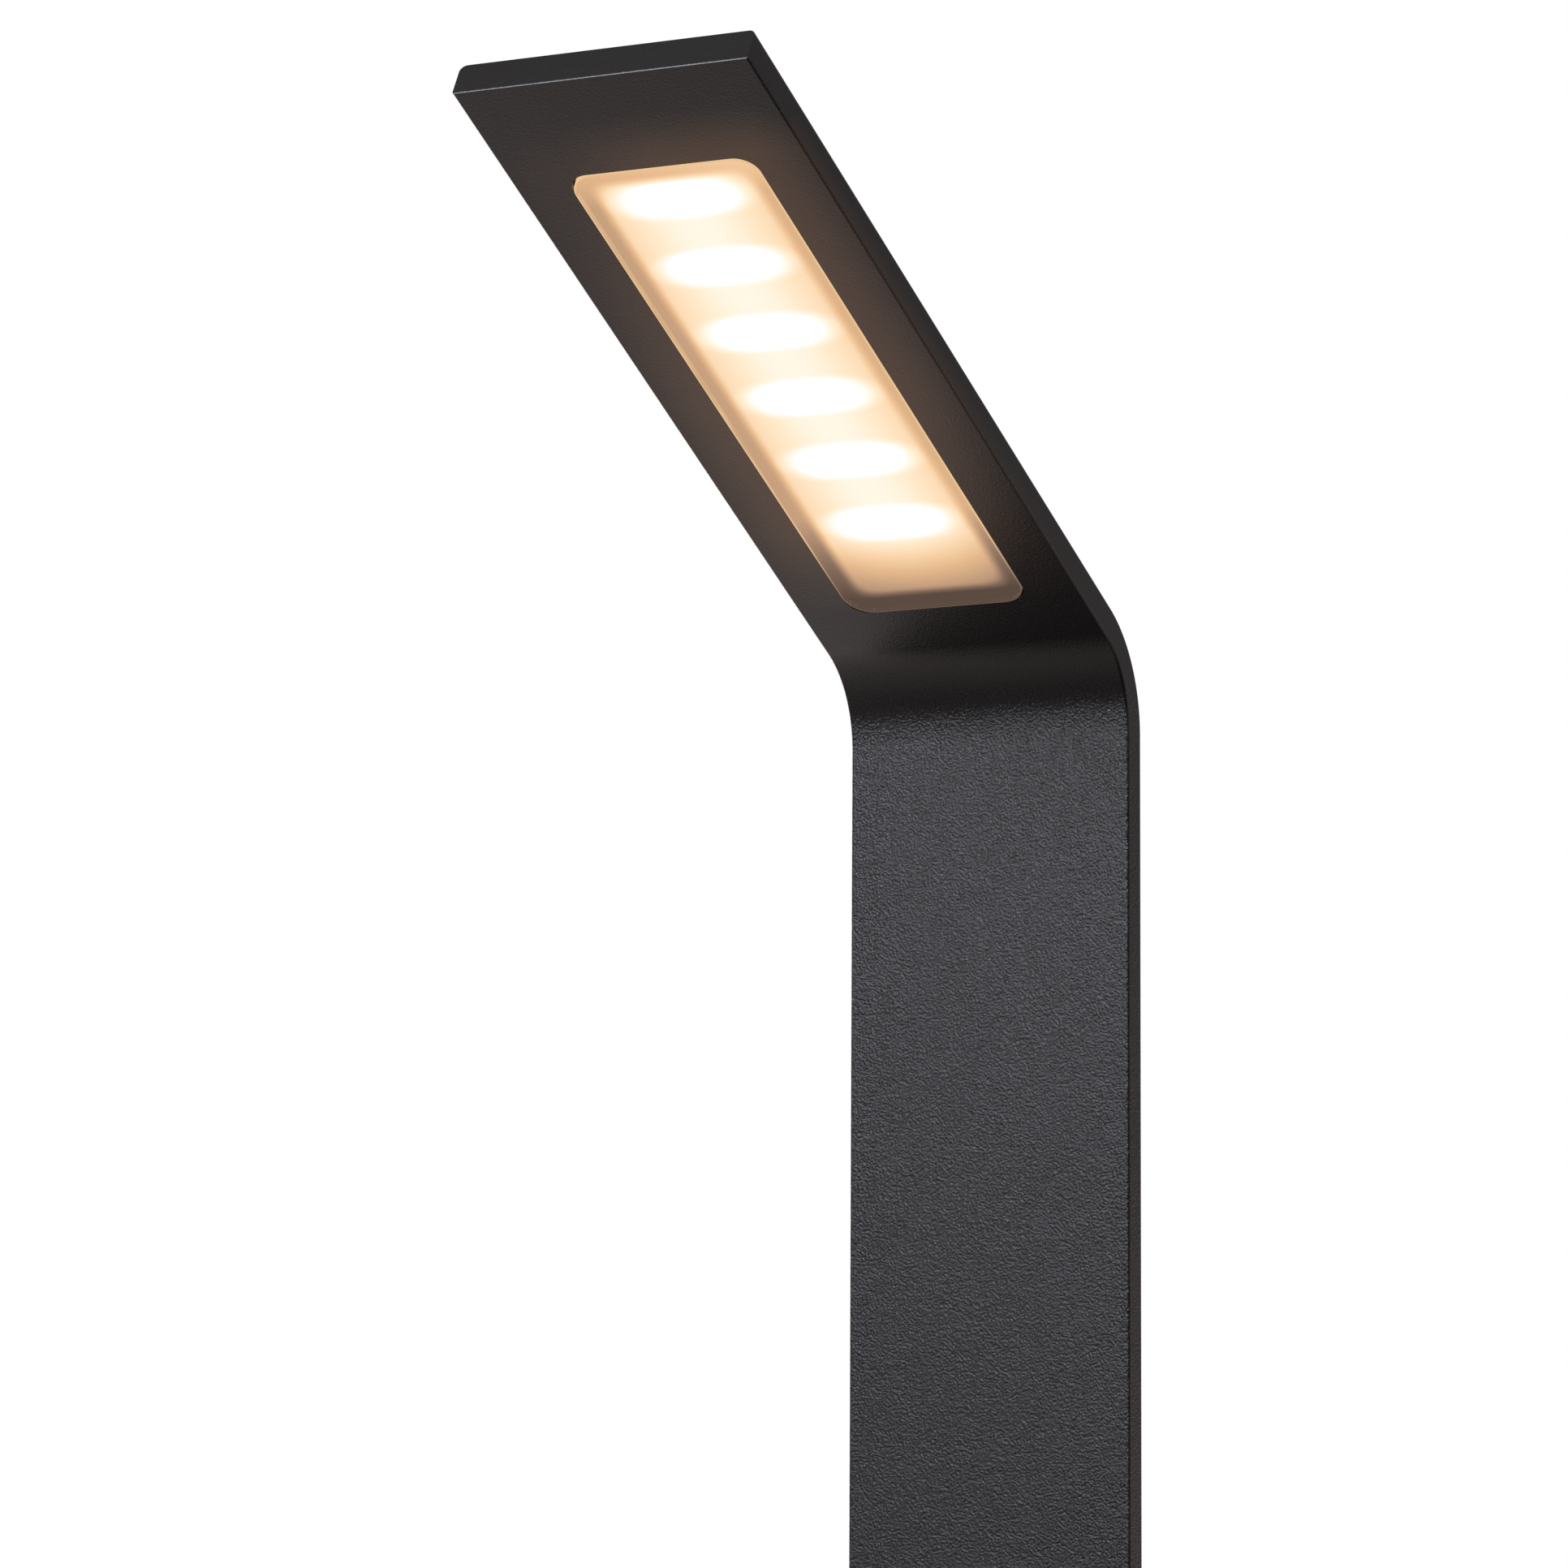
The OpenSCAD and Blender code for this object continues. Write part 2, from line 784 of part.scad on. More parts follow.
module cable_grommet() {
    color(RUBBER)
        translate([grommet_x, grommet_y, 0])
            difference() {
                union() {
                    translate([0, 0, 0.5])
                        cylinder(r = grommet_hole_r - 0.1, h = plate_t);
                    translate([0, 0, plate_t])
                        cylinder(r = grommet_flange_r, h = grommet_flange_t);
                }
                translate([0, 0, -over])
                    cylinder(r = cable_bore_r, h = plate_t + grommet_flange_t + 2 * over);
            }
}

// Saddle that holds the supply cable to the plate
module cable_clamp() {
    axis_z = plate_t + cable_bore_r;
    color(GALVANISED)
        translate([clamp_x - clamp_w / 2, clamp_y, 0])
            difference() {
                union() {
                    translate([0, 0, axis_z])
                        rotate([0, 90, 0])
                            cylinder(r = cable_bore_r + clamp_t, h = clamp_w);
                    translate([0, -cable_bore_r - clamp_t, plate_t])
                        cube([clamp_w, 2 * (cable_bore_r + clamp_t), cable_bore_r]);
                    translate([0, -clamp_reach, plate_t])
                        cube([clamp_w, 2 * clamp_reach, clamp_t]);
                }
                translate([-over, 0, axis_z])
                    rotate([0, 90, 0])
                        cylinder(r = cable_bore_r, h = clamp_w + 2 * over);
                translate([-over, -cable_bore_r, plate_t - over])
                    cube([clamp_w + 2 * over, 2 * cable_bore_r, cable_bore_r + over]);
                translate([-over, -clamp_reach - over, 0])
                    cube([clamp_w + 2 * over, 2 * (clamp_reach + over), plate_t]);
                for (side = [-1, 1])
                    translate([clamp_w / 2, side * clamp_foot, plate_t - over])
                        cylinder(r = M3[0] + through, h = clamp_t + 2 * over);
            }
}

module clamp_screws() {
    color(STEEL)
        for (side = [-1, 1])
            translate([clamp_x, clamp_y + side * clamp_foot, plate_t + clamp_t])
                button_screw(M3, clamp_t + plate_t - 1);
}

post_profile();
head_end_cap();
end_cap_seal();
lens();
lens_gasket();
reflector_tray();
led_chips();
led_board();
board_connector();
thermal_pad();
led_lead_positive();
led_lead_negative();
post_gasket();
post_root_fork();
fork_screws();
post_screws();
foot_housing();
foot_gasket();
ground_plate();
fixing_lugs();
side_screws();
driver_case();
driver_lid();
driver_board();
driver_connectors();
driver_transformer();
driver_capacitors();
driver_screws();
terminal_block();
terminal_inserts();
terminal_screws();
live_lead();
neutral_lead();
earth_lead();
earth_ring();
earth_screw();
cable_grommet();
cable_clamp();
clamp_screws();
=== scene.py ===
"""Looks for a garden bollard light: a flat post bent once, with a lit opal lens under its leaning head.

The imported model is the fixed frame. What shows is rebuilt here with round edges, a smooth bend and a lit
lens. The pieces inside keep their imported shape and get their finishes.
"""

import json
import logging
import math
from collections.abc import Iterable, Sequence
from dataclasses import dataclass, field
from enum import Enum

import bmesh
import bpy
from mathutils import Matrix, Vector


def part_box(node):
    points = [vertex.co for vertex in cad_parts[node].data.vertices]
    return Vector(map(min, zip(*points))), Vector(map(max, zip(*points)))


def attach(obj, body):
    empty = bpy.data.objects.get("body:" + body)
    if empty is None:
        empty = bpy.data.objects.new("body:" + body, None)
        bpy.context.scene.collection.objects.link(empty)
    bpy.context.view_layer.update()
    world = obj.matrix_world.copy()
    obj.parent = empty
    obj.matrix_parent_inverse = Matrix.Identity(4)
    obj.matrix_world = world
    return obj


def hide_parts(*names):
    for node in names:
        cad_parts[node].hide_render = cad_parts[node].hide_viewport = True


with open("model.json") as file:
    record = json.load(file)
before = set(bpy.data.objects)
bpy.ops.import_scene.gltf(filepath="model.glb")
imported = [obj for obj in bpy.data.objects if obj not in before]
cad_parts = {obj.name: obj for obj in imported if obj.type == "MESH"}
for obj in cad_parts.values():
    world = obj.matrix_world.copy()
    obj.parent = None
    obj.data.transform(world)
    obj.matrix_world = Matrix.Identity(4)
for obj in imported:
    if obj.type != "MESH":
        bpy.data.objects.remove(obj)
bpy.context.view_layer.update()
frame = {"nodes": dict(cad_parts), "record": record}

LOG = logging.getLogger("bollard_light")

MM = 0.001
ROOT = "root"

Pair = tuple[float, float]
Point = Pair
Tree = bpy.types.NodeTree
Node = bpy.types.Node
Socket = bpy.types.NodeSocket
Shape = bmesh.types.BMesh
Piece = bpy.types.Object
Link = Node | Socket | float | Sequence[float]
Inputs = dict[str | int, Link]

ACRYLIC_IOR = 1.49
PLASTIC_IOR = 1.5
UNLIT_ACRYLIC = "#20180f"


# ---------------------------------------------------------------- shared helpers


def linear(hex_colour: str) -> tuple[float, float, float, float]:
    """Turns an sRGB hex value into linear light.

    Args:
        hex_colour: A value such as "#33363a".

    Returns:
        Linear red, green, blue and an alpha of 1.
    """
    channels = [int(hex_colour[i : i + 2], 16) / 255 for i in (1, 3, 5)]
    red, green, blue = (c / 12.92 if c <= 0.04045 else ((c + 0.055) / 1.055) ** 2.4 for c in channels)
    return red, green, blue, 1.0


def empty_tree(owner: bpy.types.Material | bpy.types.World) -> Tree:
    """Gives a new material or world a node tree with nothing in it."""
    owner.use_nodes = True
    owner.node_tree.nodes.clear()
    return owner.node_tree


def add_node(tree: Tree, kind: str, inputs: Inputs | None = None, **settings: object) -> Node:
    """Adds one shader node with its settings and its inputs.

    Args:
        tree: The node tree that gets the node.
        kind: The node's type name, without its ShaderNode prefix.
        inputs: For each input, a plain value, a socket to link from, or a node whose first output is linked.
        **settings: Values for the node's own properties.

    Returns:
        The new node.
    """
    node = tree.nodes.new(f"ShaderNode{kind}")
    for name, value in settings.items():
        setattr(node, name, value)
    for name, value in (inputs or {}).items():
        target = node.inputs[name] if isinstance(name, int) else in_use(node.inputs, name)
        if isinstance(value, Node):
            value = in_use(value.outputs)
        if isinstance(value, Socket):
            tree.links.new(value, target)
        else:
            target.default_value = value
    return node


def in_use(sockets: Iterable[Socket], name: str = "") -> Socket:
    """Finds the first socket that is in use, of that name if one is given."""
    return next(socket for socket in sockets if socket.enabled and name in ("", socket.name))


def soft_box(width: float, height: float, radius: float, steps: int, back_radius: float = 0) -> list[Point]:
    """Outline of a rectangle with round corners, centred on the origin.

    Args:
        width: Full width.
        height: Full height.
        radius: Radius of the corners.
        steps: Edges in each corner's arc.
        back_radius: Radius of the two upper corners, where it is another one.

    Returns:
        The outline's points, counter-clockwise.
    """
    points = []
    for quarter, (side, up) in enumerate(((1, 1), (-1, 1), (-1, -1), (1, -1))):
        r = back_radius if back_radius and up > 0 else radius
        for i in range(steps + 1):
            turn = math.pi / 2 * (quarter + i / steps)
            points.append(
                (side * (width / 2 - r) + r * math.cos(turn), up * (height / 2 - r) + r * math.sin(turn))
            )
    return points


def circle(radius: float, steps: int = 8) -> list[Point]:
    """Outline of a circle round the origin, with that many edges in each quarter."""
    return soft_box(2 * radius, 2 * radius, radius, steps)


def box(width: float, height: float, x: float = 0) -> list[Point]:
    """Outline of a plain rectangle whose centre is at x, counter-clockwise."""
    return [(x + sx * width / 2, sy * height / 2) for sx, sy in ((1, 1), (-1, 1), (-1, -1), (1, -1))]


def loft(rings: Sequence[Sequence[Vector]], shape: Shape | None = None) -> Shape:
    """Joins rings of equal length into one closed skin.

    Args:
        rings: The rings in order, each a loop of points.
        shape: A shape that the skin is added to, if there is one.

    Returns:
        The shape with the skin.
    """
    shape = shape or bmesh.new()
    loops = [[shape.verts.new(point) for point in ring] for ring in rings]
    for low, high in zip(loops, loops[1:]):
        for k, corner in enumerate(low):
            after = (k + 1) % len(low)
            shape.faces.new((corner, low[after], high[after], high[k]))
    shape.faces.new(loops[0])
    shape.faces.new(loops[-1])
    return shape


def flat_rings(layers: Iterable[tuple[Sequence[Point], float]]) -> list[list[Vector]]:
    """Lays outlines across a lens or head frame, each at its own depth along Y.

    Args:
        layers: Pairs of an outline and its depth.

    Returns:
        A ring for each layer.
    """
    return [[Vector((x, depth, z)) for x, z in outline] for outline, depth in layers]


def level_rings(layers: Iterable[tuple[Sequence[Point], float]]) -> list[list[Vector]]:
    """Lays outlines level, each at its own height along Z.

    Args:
        layers: Pairs of an outline and its height.

    Returns:
        A ring for each layer.
    """
    return [[Vector((x, y, height)) for x, y in outline] for outline, height in layers]


def new_piece(name: str, shape: Shape, place: Matrix | None = None) -> Piece:
    """Turns a finished shape into an object in the scene.

    Args:
        name: The piece's name.
        shape: Its shape, which is freed.
        place: Where its own frame lies, if that isn't the row frame.

    Returns:
        The new object.
    """
    bmesh.ops.recalc_face_normals(shape, faces=shape.faces)
    mesh = bpy.data.meshes.new(name)
    shape.to_mesh(mesh)
    shape.free()
    piece = bpy.data.objects.new(name, mesh)
    piece.matrix_world = place or Matrix.Identity(4)
    bpy.context.scene.collection.objects.link(piece)
    return piece


def carve(piece: Piece, cutters: Iterable[Piece]) -> None:
    """Cuts closed shapes out of a piece for good and deletes them.

    Args:
        piece: The mesh object to cut.
        cutters: The shapes to cut out.
    """
    cutters = list(cutters)
    for cutter in cutters:
        boolean = piece.modifiers.new(cutter.name, "BOOLEAN")
        boolean.operation = "DIFFERENCE"
        boolean.solver = "EXACT"
        boolean.object = cutter
    mesh = bpy.data.meshes.new_from_object(piece.evaluated_get(bpy.context.evaluated_depsgraph_get()))
    piece.modifiers.clear()
    piece.data = mesh
    for cutter in cutters:
        bpy.data.objects.remove(cutter)


def shade(piece: Piece, sharp_angle: float = 28) -> None:
    """Shades a piece smooth with flat large faces, except across edges sharper than an angle in degrees."""
    shape = bmesh.new()
    shape.from_mesh(piece.data)
    for face in shape.faces:
        face.smooth = True
    for edge in shape.edges:
        edge.smooth = len(edge.link_faces) == 2 and edge.calc_face_angle(math.pi) < math.radians(sharp_angle)
    shape.to_mesh(piece.data)
    shape.free()
    piece.modifiers.new("weighted normals", "WEIGHTED_NORMAL").keep_sharp = True


def set_up(piece: Piece, finish: "Finish", slot: str, *nodes: str) -> None:
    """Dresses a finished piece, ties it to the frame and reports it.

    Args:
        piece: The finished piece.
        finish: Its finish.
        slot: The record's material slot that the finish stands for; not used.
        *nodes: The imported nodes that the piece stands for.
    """
    piece.data.materials.append(finish.material())
    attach(piece, ROOT)
    if nodes:
        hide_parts(*nodes)
    LOG.info("%s: %d faces, for %s", piece.name, len(piece.data.polygons), ", ".join(nodes) or "no node")


# ---------------------------------------------------------------- sizes


@dataclass(frozen=True)
class Profile:
    """The flat hollow profile, in metres: its section, and its way up the post, round the bend and out.

    The post stands on the Z axis, and the bend turns about an axis in front of it.
    """

    width: float
    thickness: float
    foot_z: float
    top_z: float
    wall: float = 1.8 * MM
    web: float = 1.5 * MM
    chamber: float = 61.5 * MM
    front_radius: float = 0.8 * MM
    back_radius: float = 2.2 * MM
    bend_radius: float = 30 * MM
    bend_angle: float = math.radians(62)
    head_length: float = 255 * MM
    bend_steps: int = 56
    corner_steps: int = 6

    @classmethod
    def from_frame(cls) -> "Profile":
        """Reads the section from the post's gasket and the height from the head's cap."""
        low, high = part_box("post_gasket")
        return cls(high.x - low.x, high.y - low.y, high.z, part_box("head_end_cap")[1].z)

    @property
    def axis_y(self) -> float:
        """Where the bend's axis lies, in front of the post."""
        return -(self.thickness / 2 + self.bend_radius)

    @property
    def bend_z(self) -> float:
        """Height at which the bend starts."""
        rise = (self.bend_radius + self.thickness) * math.sin(self.bend_angle)
        return self.top_z - rise - self.head_length * math.cos(self.bend_angle)

    @property
    def chamber_height(self) -> float:
        """Height of the chambers from the underside's wall to the back's."""
        return self.thickness - 2 * self.wall

    @property
    def side_chamber(self) -> Pair:
        """Width of a side chamber and how far its middle is from the profile's."""
        width = self.width / 2 - self.wall - self.chamber / 2 - self.web
        return width, self.chamber / 2 + self.web + width / 2

    @property
    def head_place(self) -> Matrix:
        """The head's frame: X across, -Y out of the underside, Z along the head from the bend."""
        return self.turned(self.bend_angle)

    def turned(self, angle: float) -> Matrix:
        """Gives the section's frame where the bend has turned by an angle."""
        middle = Matrix.Translation((0, self.axis_y, self.bend_z))
        return middle @ Matrix.Rotation(angle, 4, "X") @ Matrix.Translation((0, -self.axis_y, 0))

    @property
    def outline(self) -> list[Point]:
        """The profile's outer outline as (across, towards the back)."""
        return soft_box(self.width, self.thickness, self.front_radius, self.corner_steps, self.back_radius)

    def sweep(self, outline: Sequence[Point], from_z: float, to_s: float) -> Shape:
        """Sweeps an outline up the post, round the bend and along the head.

        Args:
            outline: The section's outline as (across, towards the back).
            from_z: Height at which the sweep starts.
            to_s: Distance along the head at which it ends.

        Returns:
            The closed skin.
        """
        stations = [Matrix.Translation((0, 0, from_z))]
        for i in range(self.bend_steps + 1):
            stations.append(self.turned(self.bend_angle * i / self.bend_steps))
        stations.append(self.head_place @ Matrix.Translation((0, 0, to_s)))
        return loft([[station @ Vector((x, back, 0)) for x, back in outline] for station in stations])


@dataclass(frozen=True)
class Light:
    """Sizes of the lens and the light behind it, in the lens's own frame."""

    width: float = 57.2 * MM
    length: float = 198.8 * MM
    corner: float = 8 * MM
    window_corner: float = 6.5 * MM
    proud: float = 0.2 * MM
    end_gap: float = 38 * MM
    window_gap: float = 0.1 * MM
    flange_width: float = 60.6 * MM
    flange_length: float = 202 * MM
    flange_corner: float = 3 * MM
    flange_from: float = 2.3 * MM
    flange_to: float = 3.3 * MM
    rows: int = 6
    row_pitch: float = 29 * MM
    first_row: float = 15 * MM
    dark_end: float = -97.5 * MM

    def place(self, profile: Profile) -> Matrix:
        """The lens's frame: X across, -Y out of the underside, Z along, with its origin mid-window."""
        along = profile.head_length - self.end_gap - self.length / 2
        return profile.head_place @ Matrix.Translation((0, -profile.thickness / 2, along))

    @property
    def first_z(self) -> float:
        """Where the row of LEDs nearest the head's end lies along the lens."""
        return self.length / 2 - self.first_row

    @property
    def last_z(self) -> float:
        """Where the row of LEDs nearest the bend lies along the lens."""
        return self.first_z - (self.rows - 1) * self.row_pitch


# ---------------------------------------------------------------- finishes


@dataclass(frozen=True)
class Finish:
    """A surface finish. Each kind gives the inputs of one shader, patterned in the piece's own frame."""

    name: str

    def inputs(self, tree: Tree, place: Socket) -> Inputs:
        """Builds the finish's pattern.

        Args:
            tree: The material's node tree.
            place: The place on the piece.

        Returns:
            The shader's inputs.
        """
        raise NotImplementedError

    def material(self) -> bpy.types.Material:
        """Gives the finish's material, and makes it the first time."""
        made = bpy.data.materials.get(self.name)
        if made:
            return made
        material = bpy.data.materials.new(self.name)
        tree = empty_tree(material)
        place = add_node(tree, "TexCoord").outputs["Object"]
        surface = add_node(tree, "BsdfPrincipled", self.inputs(tree, place))
        add_node(tree, "OutputMaterial", {"Surface": surface})
        return material


@dataclass(frozen=True)
class PowderCoat(Finish):
    """Black structured polyester powder coat: satin, with a leathery grain."""

    colour: str = "#100d0e"
    worn: str = "#151213"
    roughness: float = 0.27
    roughness_spread: float = 0.08
    grain: float = 0.74 * MM
    grain_detail: float = 2.5
    grain_contrast: float = 0.55
    cloud: float = 30 * MM
    relief: float = 0.5 * MM

    def bump_strength(self, tree: Tree, place: Socket) -> Link:
        """Gives the share of the grain's relief that shows."""
        return 1.0

    def inputs(self, tree: Tree, place: Socket) -> Inputs:
        """Builds the coat's grain and its slow change of tone."""
        leather = {"Detail": self.grain_detail, "Roughness": self.grain_contrast}
        grain = add_node(tree, "TexNoise", {"Vector": place, "Scale": 1 / self.grain} | leather)
        cloud = add_node(tree, "TexNoise", {"Vector": place, "Scale": 1 / self.cloud})
        tone = {"Factor": cloud, "A": linear(self.colour), "B": linear(self.worn)}
        sheen = {"Value": grain, "To Min": self.roughness, "To Max": self.roughness + self.roughness_spread}
        strength = self.bump_strength(tree, place)
        bump = {"Strength": strength, "Height": grain, "Distance": self.relief}
        return {
            "Base Color": add_node(tree, "Mix", tone, data_type="RGBA"),
            "Roughness": add_node(tree, "MapRange", sheen),
            "Normal": add_node(tree, "Bump", bump),
            "IOR": PLASTIC_IOR,
        }


@dataclass(frozen=True)
class LitPowderCoat(PowderCoat):
    """The same coat round the lens's window, with painted light: a warm emission where the lens would spill
    light on it.

    The coat flows smoother where the profile was bent, and stays so out along the head.
    """

    bend_z: float = 0
    window: Matrix = field(default_factory=Matrix)
    light: Light = Light()
    # Painted light: the warm glow's colour, strength and reach, and the painted shade at two opposite
    # corners.
    spill_colour: str = "#ffbe8f"
    spill: float = 0.048
    reach: float = 24 * MM
    depth_weight: float = 2.6
    dim_corner: Pair = (28 * MM, 100 * MM)
    dim_share: float = 0.25
    flows_over: Pair = (4 * MM, 16 * MM)
    flowed: float = 0.22

    def bump_strength(self, tree: Tree, place: Socket) -> Link:
        """Gives the share of the grain's relief that shows, less from the bend on."""
        height = add_node(tree, "SeparateXYZ", {0: place}).outputs["Z"]
        start, end = (self.bend_z + rise for rise in self.flows_over)
        reach = {"Value": height, "From Min": start, "From Max": end, "To Min": 1.0, "To Max": self.flowed}
        return add_node(tree, "MapRange", reach)

    def inputs(self, tree: Tree, place: Socket) -> Inputs:
        """Adds the painted glow of the light that the lens spills, as an emission on the coat.

        The painted glow fades with the distance from the window and towards the bend, and it is painted
        dimmer at the two opposite corners where the places across and along differ in sign.

        Args:
            tree: The material's node tree.
            place: The place on the piece.

        Returns:
            The shader's inputs.
        """
        where = {"Vector": place, "Location": self.window.translation, "Rotation": self.window.to_euler()}
        local = add_node(tree, "Mapping", where, vector_type="TEXTURE")
        size = add_node(tree, "VectorMath", {0: local}, operation="ABSOLUTE")
        halves = (self.light.width / 2, 0, self.light.length / 2)
        past = add_node(tree, "VectorMath", {0: size, 1: halves}, operation="SUBTRACT")
        gap = add_node(tree, "VectorMath", {0: past, 1: (0, 0, 0)}, operation="MAXIMUM")
        weighed = add_node(tree, "VectorMath", {0: gap, 1: (1, self.depth_weight, 1)}, operation="MULTIPLY")
        away = add_node(tree, "VectorMath", {0: weighed}, operation="LENGTH")
        reach = {"Value": away, "From Max": self.reach, "To Min": self.spill, "To Max": 0}
        near = add_node(tree, "MapRange", reach, interpolation_type="SMOOTHSTEP")
        axes = add_node(tree, "SeparateXYZ", {0: local}).outputs
        lit = {"Value": axes["Z"], "From Min": -self.light.length / 2, "From Max": self.light.last_z}
        fade = add_node(tree, "MapRange", lit)
        painted_spill = add_node(tree, "Math", {0: near, 1: fade}, operation="MULTIPLY")
        saddle = add_node(tree, "Math", {0: axes["X"], 1: axes["Z"]}, operation="MULTIPLY")
        far = -math.prod(self.dim_corner)
        corners = {"Value": saddle, "From Min": far, "From Max": 0, "To Min": self.dim_share}
        even = add_node(tree, "MapRange", corners)
        strength = add_node(tree, "Math", {0: painted_spill, 1: even}, operation="MULTIPLY")
        # The painted glow goes in as an emission on the coat.
        lit_inputs = {"Emission Color": linear(self.spill_colour), "Emission Strength": strength}
        return super().inputs(tree, place) | lit_inputs


@dataclass(frozen=True)
class LitCore(Finish):
    """The lit inside of the opal acrylic.

    It has a white bar at each row of LEDs, cream between them, peach at the sides, and a dim border where the
    tray's rim stands behind it.
    """

    light: Light = Light()
    strength: float = 1.06
    roughness: float = 0.6
    opening_width: float = 47.6 * MM
    opening_length: float = 186 * MM
    opening_corner: float = 9 * MM
    rim_blur: float = 2.3 * MM
    centre_level: float = 0.95
    side_level: float = 0.76
    border_level: float = 0.5
    border_lean: float = 4.0
    border_dark: float = -0.04
    tail_level: float = 0.3
    bar_level: float = 0.155
    bar_half_width: float = 18.5 * MM
    bar_half_height: float = 5.1 * MM
    bar_core: float = 0.02
    bar_edge: float = 3.4
    end_lift: float = 0.16
    end_lift_from: float = 84 * MM
    tail_from: float = -68 * MM
    border_from: float = -56 * MM
    stops: tuple[tuple[float, str], ...] = (
        (0.0, "#54443a"),
        (0.2, "#856b5a"),
        (0.4, "#b99477"),
        (0.6, "#e3b78a"),
        (0.75, "#f7d2a8"),
        (0.88, "#ffe8c9"),
        (0.95, "#fff6e4"),
        (1.0, "#ffffff"),
    )

    def inputs(self, tree: Tree, place: Socket) -> Inputs:
        """Adds up the levels of light and turns them into colour."""
        axes = add_node(tree, "SeparateXYZ", {0: place})
        across, along = axes.outputs["X"], axes.outputs["Z"]
        field_level = self._field(tree, across, along)
        border = self._border(tree, across, along)
        opening = self._opening(tree, across, along)
        ground = add_node(tree, "Mix", {"Factor": opening, "A": border, "B": field_level})
        level = add_node(tree, "Math", {0: ground, 1: self._bars(tree, across, along)}, operation="ADD")
        ramp = add_node(tree, "ValToRGB", {0: level})
        for _ in self.stops[len(ramp.color_ramp.elements) :]:
            ramp.color_ramp.elements.new(1.0)
        for element, (position, colour) in zip(ramp.color_ramp.elements, self.stops):
            element.position = position
            element.color = linear(colour)
        return {
            "Base Color": linear(UNLIT_ACRYLIC),
            "Roughness": self.roughness,
            "Specular IOR Level": 0.0,
            "Emission Color": ramp,
            "Emission Strength": self.strength,
        }

    def _field(self, tree: Tree, across: Socket, along: Socket) -> Node:
        """Gives the level inside the tray's opening: lower at the sides, and lower past the last row."""
        squared = add_node(tree, "Math", {0: across, 1: across}, operation="MULTIPLY")
        level = add_node(
            tree,
            "MapRange",
            {
                "Value": squared,
                "From Max": (self.opening_width / 2) ** 2,
                "To Min": self.centre_level,
                "To Max": self.side_level,
            },
        )
        reach = {"Value": along, "From Min": self.light.dark_end, "From Max": self.tail_from}
        tail = add_node(tree, "MapRange", reach | {"To Min": self.tail_level})
        return add_node(tree, "Math", {0: level, 1: tail}, operation="MULTIPLY")

    def _border(self, tree: Tree, across: Socket, along: Socket) -> Node:
        """Gives the border's level: dark at the bend, and brighter at the head's end and one side."""
        level = add_node(
            tree,
            "MapRange",
            {
                "Value": along,
                "From Min": self.light.dark_end,
                "From Max": self.border_from,
                "To Min": self.border_dark,
                "To Max": self.border_level,
            },
        )
        lift = add_node(
            tree,
            "MapRange",
            {
                "Value": along,
                "From Min": self.end_lift_from,
                "From Max": self.light.length / 2,
                "To Max": self.end_lift,
            },
        )
        even = add_node(tree, "Math", {0: level, 1: lift}, operation="ADD")
        lean = add_node(tree, "Math", {0: across, 1: self.border_lean, 2: 1.0}, operation="MULTIPLY_ADD")
        return add_node(tree, "Math", {0: even, 1: lean}, operation="MULTIPLY")

    def _opening(self, tree: Tree, across: Socket, along: Socket) -> Node:
        """Tells the tray's opening, where the answer is 1, from the border, with a blurred rim between."""
        gaps = []
        for value, full in ((across, self.opening_width), (along, self.opening_length)):
            size = add_node(tree, "Math", {0: value}, operation="ABSOLUTE")
            gaps.append(add_node(tree, "Math", {0: full / 2, 1: size}, operation="SUBTRACT"))
        nearest = {0: gaps[0], 1: gaps[1], 2: self.opening_corner}
        least = add_node(tree, "Math", nearest, operation="SMOOTH_MIN")
        rim = {"Value": least, "From Min": -self.rim_blur, "From Max": self.rim_blur}
        return add_node(tree, "MapRange", rim, interpolation_type="SMOOTHSTEP")

    def _bars(self, tree: Tree, across: Socket, along: Socket) -> Node:
        """Gives the extra level of the nearest row of LEDs, a bar with round ends."""
        light = self.light
        down = add_node(tree, "Math", {0: light.first_z, 1: along}, operation="SUBTRACT")
        count = add_node(tree, "Math", {0: down, 1: light.row_pitch}, operation="DIVIDE")
        nearest = add_node(tree, "Math", {0: count}, operation="ROUND")
        row = add_node(tree, "Clamp", {"Value": nearest, "Min": 0.0, "Max": light.rows - 1})
        offset = add_node(tree, "Math", {0: count, 1: row}, operation="SUBTRACT")
        height = add_node(
            tree, "Math", {0: offset, 1: light.row_pitch / self.bar_half_height}, operation="MULTIPLY"
        )
        width = add_node(tree, "Math", {0: across, 1: 1 / self.bar_half_width}, operation="MULTIPLY")
        tall = add_node(tree, "Math", {0: height, 1: height}, operation="MULTIPLY")
        wide = add_node(tree, "Math", {0: width, 1: width}, operation="MULTIPLY")
        apart = add_node(tree, "Math", {0: wide, 1: wide, 2: tall}, operation="MULTIPLY_ADD")
        return add_node(
            tree,
            "MapRange",
            {
                "Value": apart,
                "From Min": self.bar_core,
                "From Max": self.bar_edge,
                "To Min": self.bar_level,
                "To Max": 0.0,
            },
            interpolation_type="SMOOTHSTEP",
        )


